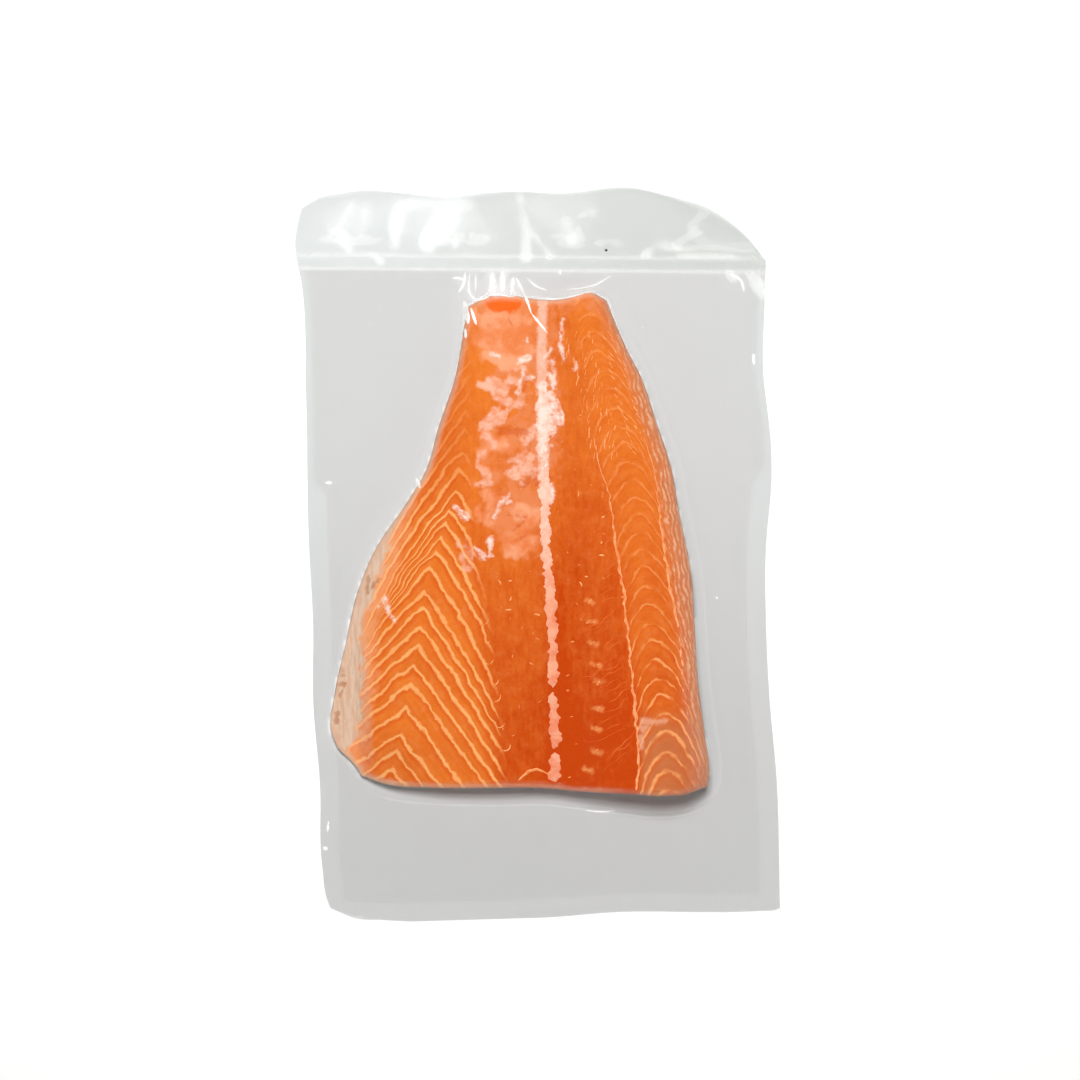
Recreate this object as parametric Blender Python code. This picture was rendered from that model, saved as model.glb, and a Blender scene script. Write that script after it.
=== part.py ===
"""A piece of salmon, vacuum packed: a skin-on piece of fillet that lies flesh side up in a flat clear pouch.

Metres, +Z up. The origin is the middle of the pouch's box on its underside. +Y points to the pouch's mouth
and the fillet's tail end, and +X to the fillet's thick back.
"""

import math

import bpy
import numpy as np
from mathutils import Vector
from mathutils.geometry import delaunay_2d_cdt

# Pouch: a flat three-side-seal bag of 200 x 300 mm, which the fish inside pulls narrower
POUCH_LENGTH = 0.3000
POUCH_WIDTH = 0.1928
MARGIN_THICKNESS = 0.0006
FLOOR_THICKNESS = 0.0004
FIT_GAP = 0.0003
SEAL_Y = 0.1155
SEAL_TILT = -0.0385
SEAL_WIDTH = 0.0055
TENT_REACH = 0.0035
TENT_REACH_PER_HEIGHT = 0.40
TENT_CURVE = 2.2
HEADER_LIFT = 0.0042
CORNER_LIFT = 0.0060

# How far each edge of the pouch is pulled in from its box: (place along the edge, distance)
LEFT_DIPS = (
    (-0.150, 0.0100), (-0.142, 0.0058), (-0.126, 0.0035), (-0.093, 0.0036), (-0.058, 0.0018),
    (-0.027, 0.0027), (0.005, 0.0020), (0.065, 0.0026), (0.112, 0.0023), (0.129, 0.0), (0.150, 0.0050),
)
RIGHT_DIPS = (
    (-0.150, 0.0021), (-0.098, 0.0018), (-0.060, 0.0039), (-0.031, 0.0043), (-0.002, 0.0035),
    (0.029, 0.0002), (0.040, 0.0001), (0.074, 0.0024), (0.100, 0.0009), (0.116, 0.0), (0.150, 0.0),
)
TOP_DIPS = (
    (-1.00, 0.0065), (-0.93, 0.0025), (-0.85, 0.0012), (-0.75, 0.0), (-0.60, 0.0012), (-0.42, 0.0033),
    (-0.06, 0.0023), (0.11, 0.0036), (0.45, 0.0025), (0.62, 0.0070), (0.79, 0.0138), (0.95, 0.0270), (1.00, 0.0335),
)
BOTTOM_DIPS = (
    (-1.00, 0.0065), (-0.93, 0.0025), (-0.80, 0.0010), (-0.06, 0.0), (0.28, 0.0014), (0.70, 0.0002),
    (0.97, 0.0), (1.00, 0.0010),
)

# Fillet piece
FILLET_LENGTH = 0.2046
TAIL_Y = 0.1048
THICK_Y = TAIL_Y - FILLET_LENGTH
MIDLINE_X = 0.0032
EDGE_ROUNDING = 0.0032
SKIN_ROUNDING = 0.0022
FLAP_THICKNESS = 0.0042
FLAP_STEP = 0.0040

# Reach of the belly side and of the back, from the midline: (place along the fillet, distance)
BELLY_REACH = (
    (-0.100, 0.0770), (-0.090, 0.0785), (-0.084, 0.0822), (-0.0785, 0.0875), (-0.073, 0.0900), (-0.054, 0.0883),
    (-0.035, 0.0835), (-0.0155, 0.0785), (0.004, 0.0697), (0.023, 0.0560), (0.033, 0.0495), (0.0525, 0.0428),
    (0.072, 0.0356), (0.0915, 0.0314), (0.105, 0.0290),
)
BACK_REACH = (
    (-0.100, 0.0618), (-0.092, 0.0632), (-0.076, 0.0618), (-0.054, 0.0598), (-0.035, 0.0592), (-0.010, 0.0583),
    (0.0135, 0.0544), (0.033, 0.0515), (0.0525, 0.0458), (0.0705, 0.0403), (0.082, 0.0348), (0.092, 0.0308),
    (0.105, 0.0262),
)
# How far the two knife cuts stand back from the piece's ends: (place across, from -1 belly to 1 back, distance)
TAIL_CUT = (
    (-1.00, 0.0040), (-0.85, 0.0018), (-0.66, 0.0), (-0.30, 0.0003), (-0.05, 0.0016), (0.35, 0.0023),
    (0.60, 0.0010), (0.82, 0.0), (1.00, 0.0030),
)
THICK_CUT = (
    (-1.00, 0.0102), (-0.88, 0.0070), (-0.62, 0.0053), (-0.25, 0.0046), (0.02, 0.0039), (0.22, 0.0023),
    (0.55, 0.0010), (0.85, 0.0), (1.00, 0.0025),
)
CUT_FADE = 6
# Height of the flesh at the thick end and at the tail end: (place across, height)
THICK_PROFILE = (
    (-1.00, 0.0065), (-0.85, 0.0105), (-0.62, 0.0165), (-0.40, 0.0190), (-0.16, 0.0180), (0.00, 0.0168),
    (0.14, 0.0182), (0.34, 0.0238), (0.58, 0.0292), (0.76, 0.0290), (0.90, 0.0245), (1.00, 0.0160),
)
TAIL_PROFILE = (
    (-1.00, 0.0080), (-0.80, 0.0105), (-0.45, 0.0122), (-0.12, 0.0116), (0.00, 0.0110), (0.15, 0.0118),
    (0.50, 0.0150), (0.78, 0.0145), (1.00, 0.0090),
)
# Inner edge of the thin belly flap, from the midline: (place along the fillet, distance)
FLAP_EDGE = (
    (-0.100, 0.0790), (-0.080, 0.0765), (-0.055, 0.0770), (-0.020, 0.0765), (0.003, 0.0690), (0.020, 0.0590),
    (0.034, 0.0510), (0.105, 0.0400),
)

# Muscle bands: the two ridges that the V-shaped bands turn on, from the midline
BELLY_RIDGE = (
    (-0.100, -0.0692), (-0.087, -0.0662), (-0.052, -0.0578), (-0.021, -0.0511), (0.002, -0.0472),
    (0.016, -0.0410), (0.025, -0.0366), (0.042, -0.0336), (0.105, -0.0235),
)
BACK_RIDGE = (
    (-0.100, 0.0464), (-0.059, 0.0445), (-0.045, 0.0417), (-0.015, 0.0397), (0.020, 0.0358), (0.041, 0.0324),
    (0.073, 0.0251), (0.105, 0.0178),
)
# How steeply a band falls away on each side of its ridge: (place along the fillet, drop per distance)
BELLY_OUTER_SLOPE = ((-0.100, 0.60), (-0.085, 0.68), (-0.060, 1.05), (-0.035, 1.25), (-0.010, 1.80), (0.010, 2.40), (0.105, 2.60))
BELLY_INNER_SLOPE = ((-0.100, 0.85), (-0.060, 0.95), (-0.030, 1.15), (0.010, 1.35), (0.105, 1.45))
BACK_INNER_SLOPE = 1.9
BACK_OUTER_SLOPE = 1.4
BACK_SIDE_SLOPE = 4.2
BACK_SHOULDER = 0.0085
BELLY_TURN = 0.0007
BACK_TURN = 0.0026
BELLY_PITCH = 0.0081
BACK_PITCH = 0.0073
BAND_RELIEF = 0.00060
# Where the bands show, from the midline
BELLY_BANDS_INNER = ((-0.100, -0.0200), (-0.060, -0.0255), (-0.022, -0.0290), (0.045, -0.0300), (0.105, -0.0300))
BELLY_BANDS_TOP = 0.052
BACK_BANDS_INNER = (
    (-0.100, 0.0320), (-0.085, 0.0345), (-0.057, 0.0335), (-0.028, 0.0315), (0.001, 0.0280), (0.027, 0.0253),
    (0.046, 0.0205), (0.105, 0.0120),
)
BAND_FADE = 0.0025

# Strip of connective tissue along the midline
STRIP_HALF_WIDTH = 0.0024
STRIP_HEIGHT = 0.0011
STRIP_BEAD = 0.0044

# Mesh spacing
EDGE_STEP = 0.0040
EDGE_RINGS = (0.0007, 0.0018, EDGE_ROUNDING, 0.0060)
TENT_RINGS = (0.0016, 0.0036, 0.0065, 0.0105)
POUCH_EDGE_STEP = 0.0062
BAND_STEP = 0.0034
FILLER_STEP = 0.0072
MARGIN_STEP = 0.0115
HEADER_STEP = 0.0062


def smooth(at, stations):
    """The value at a place on a smooth curve through (place, value) stations."""
    places, values = np.array(stations, float).T
    slopes = np.gradient(values, places)
    at = np.clip(at, places[0], places[-1])
    i = np.clip(np.searchsorted(places, at) - 1, 0, len(places) - 2)
    gap = places[i + 1] - places[i]
    t = (at - places[i]) / gap
    start = (1 + 2 * t) * (1 - t) ** 2 * values[i] + t * (1 - t) ** 2 * gap * slopes[i]
    end = t * t * (3 - 2 * t) * values[i + 1] + t * t * (t - 1) * gap * slopes[i + 1]
    return start + end


def eased(t):
    """0 below 0, 1 above 1, and smooth between."""
    t = np.clip(t, 0.0, 1.0)
    return t * t * (3 - 2 * t)


# Outlines


def set_back(at, stations):
    """How far an edge stands back from its box at a place along it."""
    return np.maximum(smooth(at, stations), 0)


def fillet_point(u, v):
    """A point of the fillet's outline area: u runs from the belly to the back, v from the thick end to the tail."""
    across = 2 * u - 1
    y = THICK_Y + v * FILLET_LENGTH
    y = y + set_back(across, THICK_CUT) * (1 - v) ** CUT_FADE - set_back(across, TAIL_CUT) * v**CUT_FADE
    left = MIDLINE_X - smooth(y, BELLY_REACH)
    right = MIDLINE_X + smooth(y, BACK_REACH)
    return np.stack([left + u * (right - left), y], -1)


def pouch_point(u, v):
    """A point of the pouch's outline area: u runs from its left edge to its right, v from its bottom seal to its mouth."""
    across = 2 * u - 1
    y = (v - 0.5) * POUCH_LENGTH
    y = y + set_back(across, BOTTOM_DIPS) * (1 - v) ** CUT_FADE - set_back(across, TOP_DIPS) * v**CUT_FADE
    left = set_back(y, LEFT_DIPS) - POUCH_WIDTH / 2
    right = POUCH_WIDTH / 2 - set_back(y, RIGHT_DIPS)
    return np.stack([left + u * (right - left), y], -1)


def loop_round(point, step):
    """The closed outline of a mapped area, anticlockwise, with a point about every step."""
    fine = np.linspace(0, 1, 400)
    one, none = np.ones_like(fine), np.zeros_like(fine)
    sides = [point(fine, none), point(one, fine), point(fine[::-1], one), point(none, fine[::-1])]
    loop = []
    for side in sides:
        length = np.concatenate([[0], np.cumsum(np.linalg.norm(np.diff(side, axis=0), axis=1))])
        count = max(2, round(length[-1] / step))
        at = np.linspace(0, length[-1], count + 1)[:-1]
        loop.append(np.stack([np.interp(at, length, side[:, k]) for k in range(2)], -1))
    return np.concatenate(loop)


def outward(loop):
    """The outward direction at each point of an anticlockwise loop."""
    along = np.roll(loop, -1, 0) - np.roll(loop, 1, 0)
    normal = np.stack([along[:, 1], -along[:, 0]], -1)
    return normal / np.linalg.norm(normal, axis=1)[:, None]


def distance(points, loop):
    """How far each point is from a closed loop, and where on the loop the nearest place is."""
    start, end = loop, np.roll(loop, -1, 0)
    side = end - start
    share = ((points[:, None] - start) * side).sum(-1) / (side**2).sum(-1)
    nearest = start + np.clip(share, 0, 1)[..., None] * side
    gaps = np.linalg.norm(points[:, None] - nearest, axis=-1)
    best = gaps.argmin(1)
    rows = np.arange(len(points))
    return gaps[rows, best], nearest[rows, best]


def inside(points, loop):
    """True for each point within a closed loop."""
    x, y = points[:, 0, None], points[:, 1, None]
    (x0, y0), (x1, y1) = loop.T, np.roll(loop, -1, 0).T
    with np.errstate(divide="ignore", invalid="ignore"):
        crossing = ((y0 > y) != (y1 > y)) & (x < (x1 - x0) * (y - y0) / (y1 - y0) + x0)
    return crossing.sum(1) % 2 == 1


def centred(loop):
    return loop - (loop.min(0) + loop.max(0)) / 2


FILLET_LOOP = loop_round(fillet_point, EDGE_STEP)
POUCH_LOOP = centred(loop_round(pouch_point, POUCH_EDGE_STEP))
POCKET_LOOP = FILLET_LOOP + FIT_GAP * outward(FILLET_LOOP)


# Fillet


def band_drop(offset, left_slope, right_slope, turn):
    """How far along the fillet a muscle band has fallen at an offset from its ridge."""
    slope = np.where(offset < 0, left_slope, right_slope)
    return slope * (np.sqrt(offset**2 + turn**2) - turn)


def belly_drop(offset, y):
    return band_drop(offset, smooth(y, BELLY_OUTER_SLOPE), smooth(y, BELLY_INNER_SLOPE), BELLY_TURN)


def back_drop(offset, y):
    past_shoulder = np.maximum(offset - BACK_SHOULDER, 0)
    steeper = BACK_SIDE_SLOPE - BACK_OUTER_SLOPE
    return band_drop(offset, BACK_INNER_SLOPE, BACK_OUTER_SLOPE, BACK_TURN) + steeper * past_shoulder


def ridge_wave(phase):
    """1 on each whole number and 0 half-way between."""
    return np.abs(2 * (phase - np.floor(phase)) - 1)


def band_shows(x, y):
    """How clearly the muscle bands show on the belly side and on the back, from 0 to 1."""
    from_midline = x - MIDLINE_X
    belly = eased((smooth(y, BELLY_BANDS_INNER) - from_midline) / BAND_FADE)
    belly = belly * eased((BELLY_BANDS_TOP - y) / 0.012) * eased((from_midline + smooth(y, FLAP_EDGE)) / BAND_FADE)
    back = eased((from_midline - smooth(y, BACK_BANDS_INNER)) / BAND_FADE)
    return belly, back


def relief(x, y):
    """Low relief of the flesh: the muscle bands and the beaded strip on the midline."""
    from_midline = x - MIDLINE_X
    belly, back = band_shows(x, y)
    belly_phase = (y + belly_drop(from_midline - smooth(y, BELLY_RIDGE), y)) / BELLY_PITCH
    back_phase = (y + back_drop(from_midline - smooth(y, BACK_RIDGE), y)) / BACK_PITCH
    bands = belly * ridge_wave(belly_phase) + back * ridge_wave(back_phase)
    bead = 0.75 + 0.25 * np.cos(2 * math.pi * (y - THICK_Y) / STRIP_BEAD)
    strip = np.clip(1 - np.abs(from_midline) / STRIP_HALF_WIDTH, 0, 1) * bead
    return BAND_RELIEF * bands + STRIP_HEIGHT * strip


def flesh_height(x, y):
    """Height of the fillet over its skin, before its edges are rounded."""
    from_midline = x - MIDLINE_X
    reach = np.where(from_midline < 0, smooth(y, BELLY_REACH), smooth(y, BACK_REACH))
    across = np.clip(from_midline / reach, -1, 1)
    to_tail = eased((y - THICK_Y) / FILLET_LENGTH)
    height = smooth(across, THICK_PROFILE) * (1 - to_tail) + smooth(across, TAIL_PROFILE) * to_tail
    muscle = eased((from_midline + smooth(y, FLAP_EDGE)) / FLAP_STEP + 0.5)
    return FLAP_THICKNESS + (height - FLAP_THICKNESS) * muscle


def rounding(gap, radius):
    """How far a surface has dropped at a gap from an edge that is rounded to a radius."""
    left = np.clip(1 - gap / radius, 0, 1)
    return radius * (1 - np.sqrt(1 - left**2))


def fillet_top(points):
    x, y = points.T
    height = flesh_height(x, y)
    gap, _ = distance(points, FILLET_LOOP)
    radius = np.minimum(EDGE_ROUNDING, 0.5 * height)
    flat = eased(gap / EDGE_ROUNDING)
    return FLOOR_THICKNESS + FIT_GAP + height + flat * relief(x, y) - rounding(gap, radius)


def fillet_bottom(points):
    gap, _ = distance(points, FILLET_LOOP)
    height = flesh_height(*points.T)
    return FLOOR_THICKNESS + FIT_GAP + rounding(gap, np.minimum(SKIN_ROUNDING, 0.3 * height))


def thinned(groups):
    """The points of several (points, spacing) groups, first come first kept, without any closer than its spacing."""
    kept = groups[0][0]
    for points, spacing in groups[1:]:
        for point in points:
            if ((kept - point) ** 2).sum(1).min() > spacing**2:
                kept = np.vstack([kept, point])
    return kept


def lattice(low, high, step):
    """A staggered lattice of points over a box."""
    rows = np.arange(low[1], high[1], step * math.sqrt(0.75))
    columns = np.arange(low[0], high[0], step)
    return np.array([(x + (i % 2) * step / 2, y) for i, y in enumerate(rows) for x in columns])


def within(points, loop, margin):
    """The points that are inside a loop by at least a margin."""
    points = points[inside(points, loop)]
    return points[distance(points, loop)[0] > margin]


def band_points(ridge, drop, pitch, reach):
    """Points on the crest of each muscle band and on the hollow between bands."""
    found = []
    outward_steps = np.arange(1, reach / BAND_STEP) * BAND_STEP
    offsets = np.concatenate([[0], outward_steps, -outward_steps])
    first, last = math.floor(2 * THICK_Y / pitch), math.ceil(2 * (TAIL_Y + reach) / pitch)
    for half in range(first, last):
        apex = half * pitch / 2
        y = np.full_like(offsets, apex)
        for _ in range(8):
            y = apex - drop(offsets, y)
        found.append(np.stack([MIDLINE_X + smooth(y, ridge) + offsets, y], -1))
    return np.concatenate(found)


def strip_points():
    """Points along the midline strip, on each bead's crest and waist and at both feet."""
    beads = np.arange(1, FILLET_LENGTH / STRIP_BEAD * 2) / 2
    y = THICK_Y + beads * STRIP_BEAD
    lines = [np.stack([np.full_like(y, MIDLINE_X + side * STRIP_HALF_WIDTH), y], -1) for side in (0, -1, 1)]
    return np.concatenate(lines)


def flap_points():
    """Points along the step from the muscle down to the thin belly flap."""
    y = np.arange(THICK_Y, TAIL_Y, EDGE_STEP)
    edge = MIDLINE_X - smooth(y, FLAP_EDGE)
    return np.concatenate([np.stack([edge + side * FLAP_STEP / 2, y], -1) for side in (-1, 1)])


def fillet_layout():
    """The points that the fillet's faces are laid out on."""
    groups = [(FILLET_LOOP, 0)]
    inward = -outward(FILLET_LOOP)
    for gap in EDGE_RINGS:
        ring = within(FILLET_LOOP + gap * inward, FILLET_LOOP, 0.92 * gap)
        groups.append((ring, min(0.9 * gap, 0.0022)))
    belly = band_points(BELLY_RIDGE, belly_drop, BELLY_PITCH, 0.045)
    back = band_points(BACK_RIDGE, back_drop, BACK_PITCH, 0.024)
    belly = belly[band_shows(*belly.T)[0] > 0.2]
    back = back[band_shows(*back.T)[1] > 0.2]
    for points, spacing in ((strip_points(), 0.0020), (belly, 0.0018), (back, 0.0018), (flap_points(), 0.0018)):
        groups.append((within(points, FILLET_LOOP, EDGE_ROUNDING), spacing))
    filler = lattice(FILLET_LOOP.min(0), FILLET_LOOP.max(0), FILLER_STEP)
    groups.append((within(filler, FILLET_LOOP, EDGE_ROUNDING), 0.0042))
    return thinned(groups)


# Pouch


def header_rise(x, y):
    """How far the unsealed mouth of the pouch has risen from what the pack lies on."""
    past_seal = y - (SEAL_Y + SEAL_TILT * x) - SEAL_WIDTH
    mouth = eased(past_seal / 0.026)
    waves = 0.62 + 0.38 * np.cos(2 * math.pi * (x + 0.028) / 0.054 + 0.6 * np.sin(x / 0.03))
    corner = eased((x - 0.045) / 0.045)
    return mouth * (HEADER_LIFT * waves + CORNER_LIFT * corner)


def tent_height(points):
    """Height of the film that slopes from the fillet's edge down to the flat margin."""
    gap, foot = distance(points, FILLET_LOOP)
    height = flesh_height(*foot.T)
    shoulder = FLOOR_THICKNESS + FIT_GAP + height - np.minimum(EDGE_ROUNDING, 0.5 * height)
    reach = TENT_REACH + TENT_REACH_PER_HEIGHT * shoulder
    gap = np.where(inside(points, FILLET_LOOP), 0.0, gap)
    return shoulder * np.clip(1 - gap / reach, 0, 1) ** TENT_CURVE


def pouch_top(points):
    rise = header_rise(*points.T)
    return np.maximum(tent_height(points), rise + MARGIN_THICKNESS)


def pouch_bottom(points):
    return header_rise(*points.T)


def pocket_floor(points):
    return np.full(len(points), FLOOR_THICKNESS)


def pouch_layout():
    """The points that the pouch's faces are laid out on."""
    groups = [(np.vstack([POUCH_LOOP, POCKET_LOOP]), 0)]
    away = outward(FILLET_LOOP)
    for gap in TENT_RINGS:
        ring = FILLET_LOOP + gap * away
        ring = ring[distance(ring, FILLET_LOOP)[0] > 0.92 * gap]
        groups.append((within(ring, POUCH_LOOP, 0.002), 0.75 * gap))
    x = np.arange(-POUCH_WIDTH / 2, POUCH_WIDTH / 2, HEADER_STEP)
    seal = [np.stack([x, SEAL_Y + SEAL_TILT * x + side * SEAL_WIDTH], -1) for side in (0, 1)]
    groups.append((within(np.vstack(seal), POUCH_LOOP, 0.002), 0.003))
    low, high = POUCH_LOOP.min(0), POUCH_LOOP.max(0)
    header = lattice((low[0], SEAL_Y), high, HEADER_STEP)
    groups.append((within(header, POUCH_LOOP, 0.003), 0.0045))
    margin = lattice(low, high, MARGIN_STEP)
    groups.append((within(margin, POUCH_LOOP, 0.005), 0.0080))
    return thinned(groups)


# Solids


def triangles(points, loops):
    """The points and triangles of an area whose inner edges follow the loops."""
    edges, first = [], 0
    for loop in loops:
        count = len(loop)
        edges += [(first + k, first + (k + 1) % count) for k in range(count)]
        first += count
    flat, _, faces, *_ = delaunay_2d_cdt([Vector(p) for p in points], edges, [], 1, 1e-7)
    return np.array([tuple(p) for p in flat]), np.array(faces)


def layered_solid(name, flat, faces, pocket, tops, bottom, material):
    """A closed body over a triangulated area. tops holds its height function outside the pocket and in it."""
    heights = [top(flat) for top in tops]
    points = [(x, y, z) for (x, y), z in zip(flat, bottom(flat))]
    above, shell, used = {}, [], {}

    def top_of(corner, layer):
        if (corner, layer) not in above:
            above[corner, layer] = len(points)
            points.append((*flat[corner], heights[layer][corner]))
        return above[corner, layer]

    for face, layer in zip(faces.tolist(), pocket.tolist()):
        shell.append(face[::-1])
        shell.append([top_of(corner, layer) for corner in face])
        for a, b in zip(face, face[1:] + face[:1]):
            used[a, b] = layer
    for (a, b), layer in used.items():
        beyond = used.get((b, a))
        if beyond is None:
            shell.append([a, b, top_of(b, layer), top_of(a, layer)])
        elif beyond > layer:
            shell.append([top_of(a, beyond), top_of(b, beyond), top_of(b, layer), top_of(a, layer)])
    mesh = bpy.data.meshes.new(name)
    mesh.from_pydata(points, [], shell)
    mesh.materials.append(material)
    mesh.shade_smooth()
    mesh.set_sharp_from_angle(angle=math.radians(40))
    thing = bpy.data.objects.new(name, mesh)
    bpy.context.scene.collection.objects.link(thing)
    return thing


def plain_material(name, colour, roughness, alpha=1.0):
    material = bpy.data.materials.new(name)
    material.use_nodes = True
    shader = material.node_tree.nodes["Principled BSDF"]
    shader.inputs["Base Color"].default_value = (*colour, 1)
    shader.inputs["Roughness"].default_value = roughness
    shader.inputs["Metallic"].default_value = 0
    shader.inputs["Alpha"].default_value = alpha
    return material


def make_fillet():
    flat, faces = triangles(fillet_layout(), [FILLET_LOOP])
    one_layer = np.zeros(len(faces), int)
    flesh = plain_material("salmon_flesh", (0.79, 0.17, 0.03), 0.35)
    return layered_solid("salmon_fillet", flat, faces, one_layer, [fillet_top], fillet_bottom, flesh)


def make_pouch():
    flat, faces = triangles(pouch_layout(), [POUCH_LOOP, POCKET_LOOP])
    in_pocket = inside(flat[faces].mean(1), POCKET_LOOP).astype(int)
    film = plain_material("clear_film", (0.70, 0.71, 0.70), 0.15, alpha=0.35)
    return layered_solid("vacuum_pouch", flat, faces, in_pocket, [pouch_top, pocket_floor], pouch_bottom, film)


def clear_scene():
    for thing in list(bpy.data.objects):
        bpy.data.objects.remove(thing, do_unlink=True)


clear_scene()
make_fillet()
make_pouch()
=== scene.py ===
"""Looks of the vacuum-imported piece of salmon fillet.

Lengths are in millimetres, except those of the floor and the lights, which are in metres.
"""

import math

import bpy
import numpy as np
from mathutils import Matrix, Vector
from mathutils.bvhtree import BVHTree


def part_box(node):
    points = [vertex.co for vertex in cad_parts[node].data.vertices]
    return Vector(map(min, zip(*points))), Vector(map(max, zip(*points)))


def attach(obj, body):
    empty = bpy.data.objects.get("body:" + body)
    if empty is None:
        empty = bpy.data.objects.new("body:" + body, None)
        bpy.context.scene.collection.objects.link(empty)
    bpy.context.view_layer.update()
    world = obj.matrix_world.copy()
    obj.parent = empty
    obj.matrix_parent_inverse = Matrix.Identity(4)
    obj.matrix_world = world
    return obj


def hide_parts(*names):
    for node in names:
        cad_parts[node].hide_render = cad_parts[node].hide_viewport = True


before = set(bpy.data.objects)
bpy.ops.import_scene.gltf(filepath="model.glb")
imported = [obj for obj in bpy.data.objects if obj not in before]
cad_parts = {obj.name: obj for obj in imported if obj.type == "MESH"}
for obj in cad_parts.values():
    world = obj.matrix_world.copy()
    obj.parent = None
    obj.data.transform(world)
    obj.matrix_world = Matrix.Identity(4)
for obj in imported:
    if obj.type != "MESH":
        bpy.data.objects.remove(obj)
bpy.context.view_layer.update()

MM = 0.001
SHARP_ANGLE = math.radians(60)

# Pouch, as in the solids
POUCH_LOW, POUCH_HIGH = (np.array(corner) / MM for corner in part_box("vacuum_pouch"))
POUCH_WIDTH, POUCH_LENGTH = (POUCH_HIGH - POUCH_LOW)[:2]
FLOOR_FILM = 0.4
FIT_GAP = 0.3
SKIN_LEVEL = FLOOR_FILM + FIT_GAP
SEAL_Y = 115.5
SEAL_TILT = -0.0385
SEAL_WIDTH = 5.5
TENT_REACH = 2.6
TENT_REACH_PER_HEIGHT = 0.26
TENT_CURVE = 2.2
HEADER_LIFT = 4.2
CORNER_LIFT = 6
LEFT_DIPS = (
    (-150, 10), (-142, 5.8), (-126, 3.5), (-93, 3.6), (-58, 1.8), (-27, 2.7), (5, 2), (65, 2.6), (112, 2.3),
    (129, 0), (150, 5),
)
RIGHT_DIPS = (
    (-150, 2.1), (-98, 1.8), (-60, 3.9), (-31, 4.3), (-2, 3.5), (29, 0.2), (40, 0.1), (74, 2.4), (100, 0.9),
    (116, 0), (150, 0),
)
TOP_DIPS = (
    (-1, 6.5), (-0.93, 2.5), (-0.85, 1.2), (-0.75, 0), (-0.60, 1.2), (-0.42, 3.3), (-0.06, 2.3),
    (0.11, 3.6), (0.45, 2.5), (0.62, 7), (0.79, 13.8), (0.95, 27), (1, 33.5),
)
BOTTOM_DIPS = (
    (-1, 6.5), (-0.93, 2.5), (-0.80, 1), (-0.06, 0), (0.28, 1.4), (0.70, 0.2), (0.97, 0), (1, 1),
)
CUT_FADE = 6

# Fillet, as in the solids
FILLET_LENGTH = 204.6
TAIL_Y = 104.8
THICK_Y = TAIL_Y - FILLET_LENGTH
MIDLINE_X = 3.2
EDGE_ROUNDING = 3.2
SKIN_ROUNDING = 2.2
SKIN_INSET = 0.4
FLAP_THICKNESS = 4.2
FLAP_STEP = 8
BELLY_REACH = (
    (-100, 77), (-90, 78.5), (-84, 82.2), (-78.5, 87.5), (-73, 90), (-54, 88.3), (-35, 83.5), (-15.5, 78.5),
    (4, 69.7), (23, 56), (33, 49.5), (52.5, 42.8), (72, 35.6), (91.5, 31.4), (105, 29),
)
BACK_REACH = (
    (-100, 61.8), (-92, 63.2), (-76, 61.8), (-54, 59.8), (-35, 59.2), (-10, 58.3), (13.5, 54.4), (33, 51.5),
    (52.5, 45.8), (70.5, 40.3), (82, 34.8), (92, 30.8), (105, 26.2),
)
TAIL_CUT = (
    (-1, 4), (-0.85, 1.8), (-0.66, 0), (-0.30, 0.3), (-0.05, 1.6), (0.35, 2.3), (0.60, 1), (0.82, 0),
    (1, 3),
)
THICK_CUT = (
    (-1, 10.2), (-0.88, 7), (-0.62, 5.3), (-0.25, 4.6), (0.02, 3.9), (0.22, 2.3), (0.55, 1), (0.85, 0),
    (1, 2.5),
)
THICK_PROFILE = (
    (-1, 6.5), (-0.85, 10.5), (-0.62, 16.5), (-0.40, 19), (-0.16, 18), (0, 16.8), (0.14, 18.2),
    (0.34, 23.8), (0.58, 29.2), (0.76, 29), (0.90, 24.5), (1, 16),
)
TAIL_PROFILE = (
    (-1, 8), (-0.80, 10.5), (-0.45, 12.2), (-0.12, 11.6), (0, 11), (0.15, 11.8), (0.50, 15), (0.78, 14.5),
    (1, 9),
)
FLAP_EDGE = (
    (-100, 79), (-80, 76.5), (-55, 77), (-20, 76.5), (3, 69), (20, 59), (34, 51), (105, 40),
)

# Muscle bands of the belly side: the ridge that they turn on, and where on it each one turns
BELLY_RIDGE = (
    (-107, -69), (-86.7, -62.2), (-72, -58.6), (-51.7, -53.6), (-28.5, -49.2), (-5.4, -45), (6.9, -40.2),
    (16.3, -37), (25.7, -33.6), (42.1, -30.6), (60, -27.5), (80, -24), (105, -19.5), (140, -15),
)
BELLY_TURNS = (
    -103, -94.9, -86.7, -79.7, -72, -61.5, -51.7, -43.9, -35.9, -28.5, -21.2, -14.1, -5.4, 2.2, 6.9, 13.3,
    18.3, 25.7, 34.4, 42.1, *range(50, 147, 8),
)
# Fall of a band on each side of its ridge: slope at the ridge, and how it steepens, by where it turns
BELLY_OUTER_FALL = (
    (-107, 0.55), (-72, 0.62), (-51, 0.68), (-28, 0.74), (-5, 0.90), (16, 1.10), (42, 1.15), (80, 1.2),
    (140, 1.2),
)
BELLY_OUTER_BEND = (
    (-107, 0.002), (-72, 0.003), (-51, 0.004), (-28, 0.007), (-5, 0.009), (16, 0.008), (42, 0.006),
    (140, 0.006),
)
BELLY_INNER_FALL = (
    (-107, 1.25), (-72, 1.42), (-51, 1.48), (-28, 1.48), (-5, 1.45), (16, 1.35), (42, 1.3), (80, 1.8),
    (140, 2.2),
)
BELLY_INNER_BEND = (
    (-107, 0), (-72, 0), (-51, 0), (-28, 0.006), (-5, 0.018), (16, 0.032), (42, 0.050), (80, 0.050),
    (140, 0.050),
)
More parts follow.
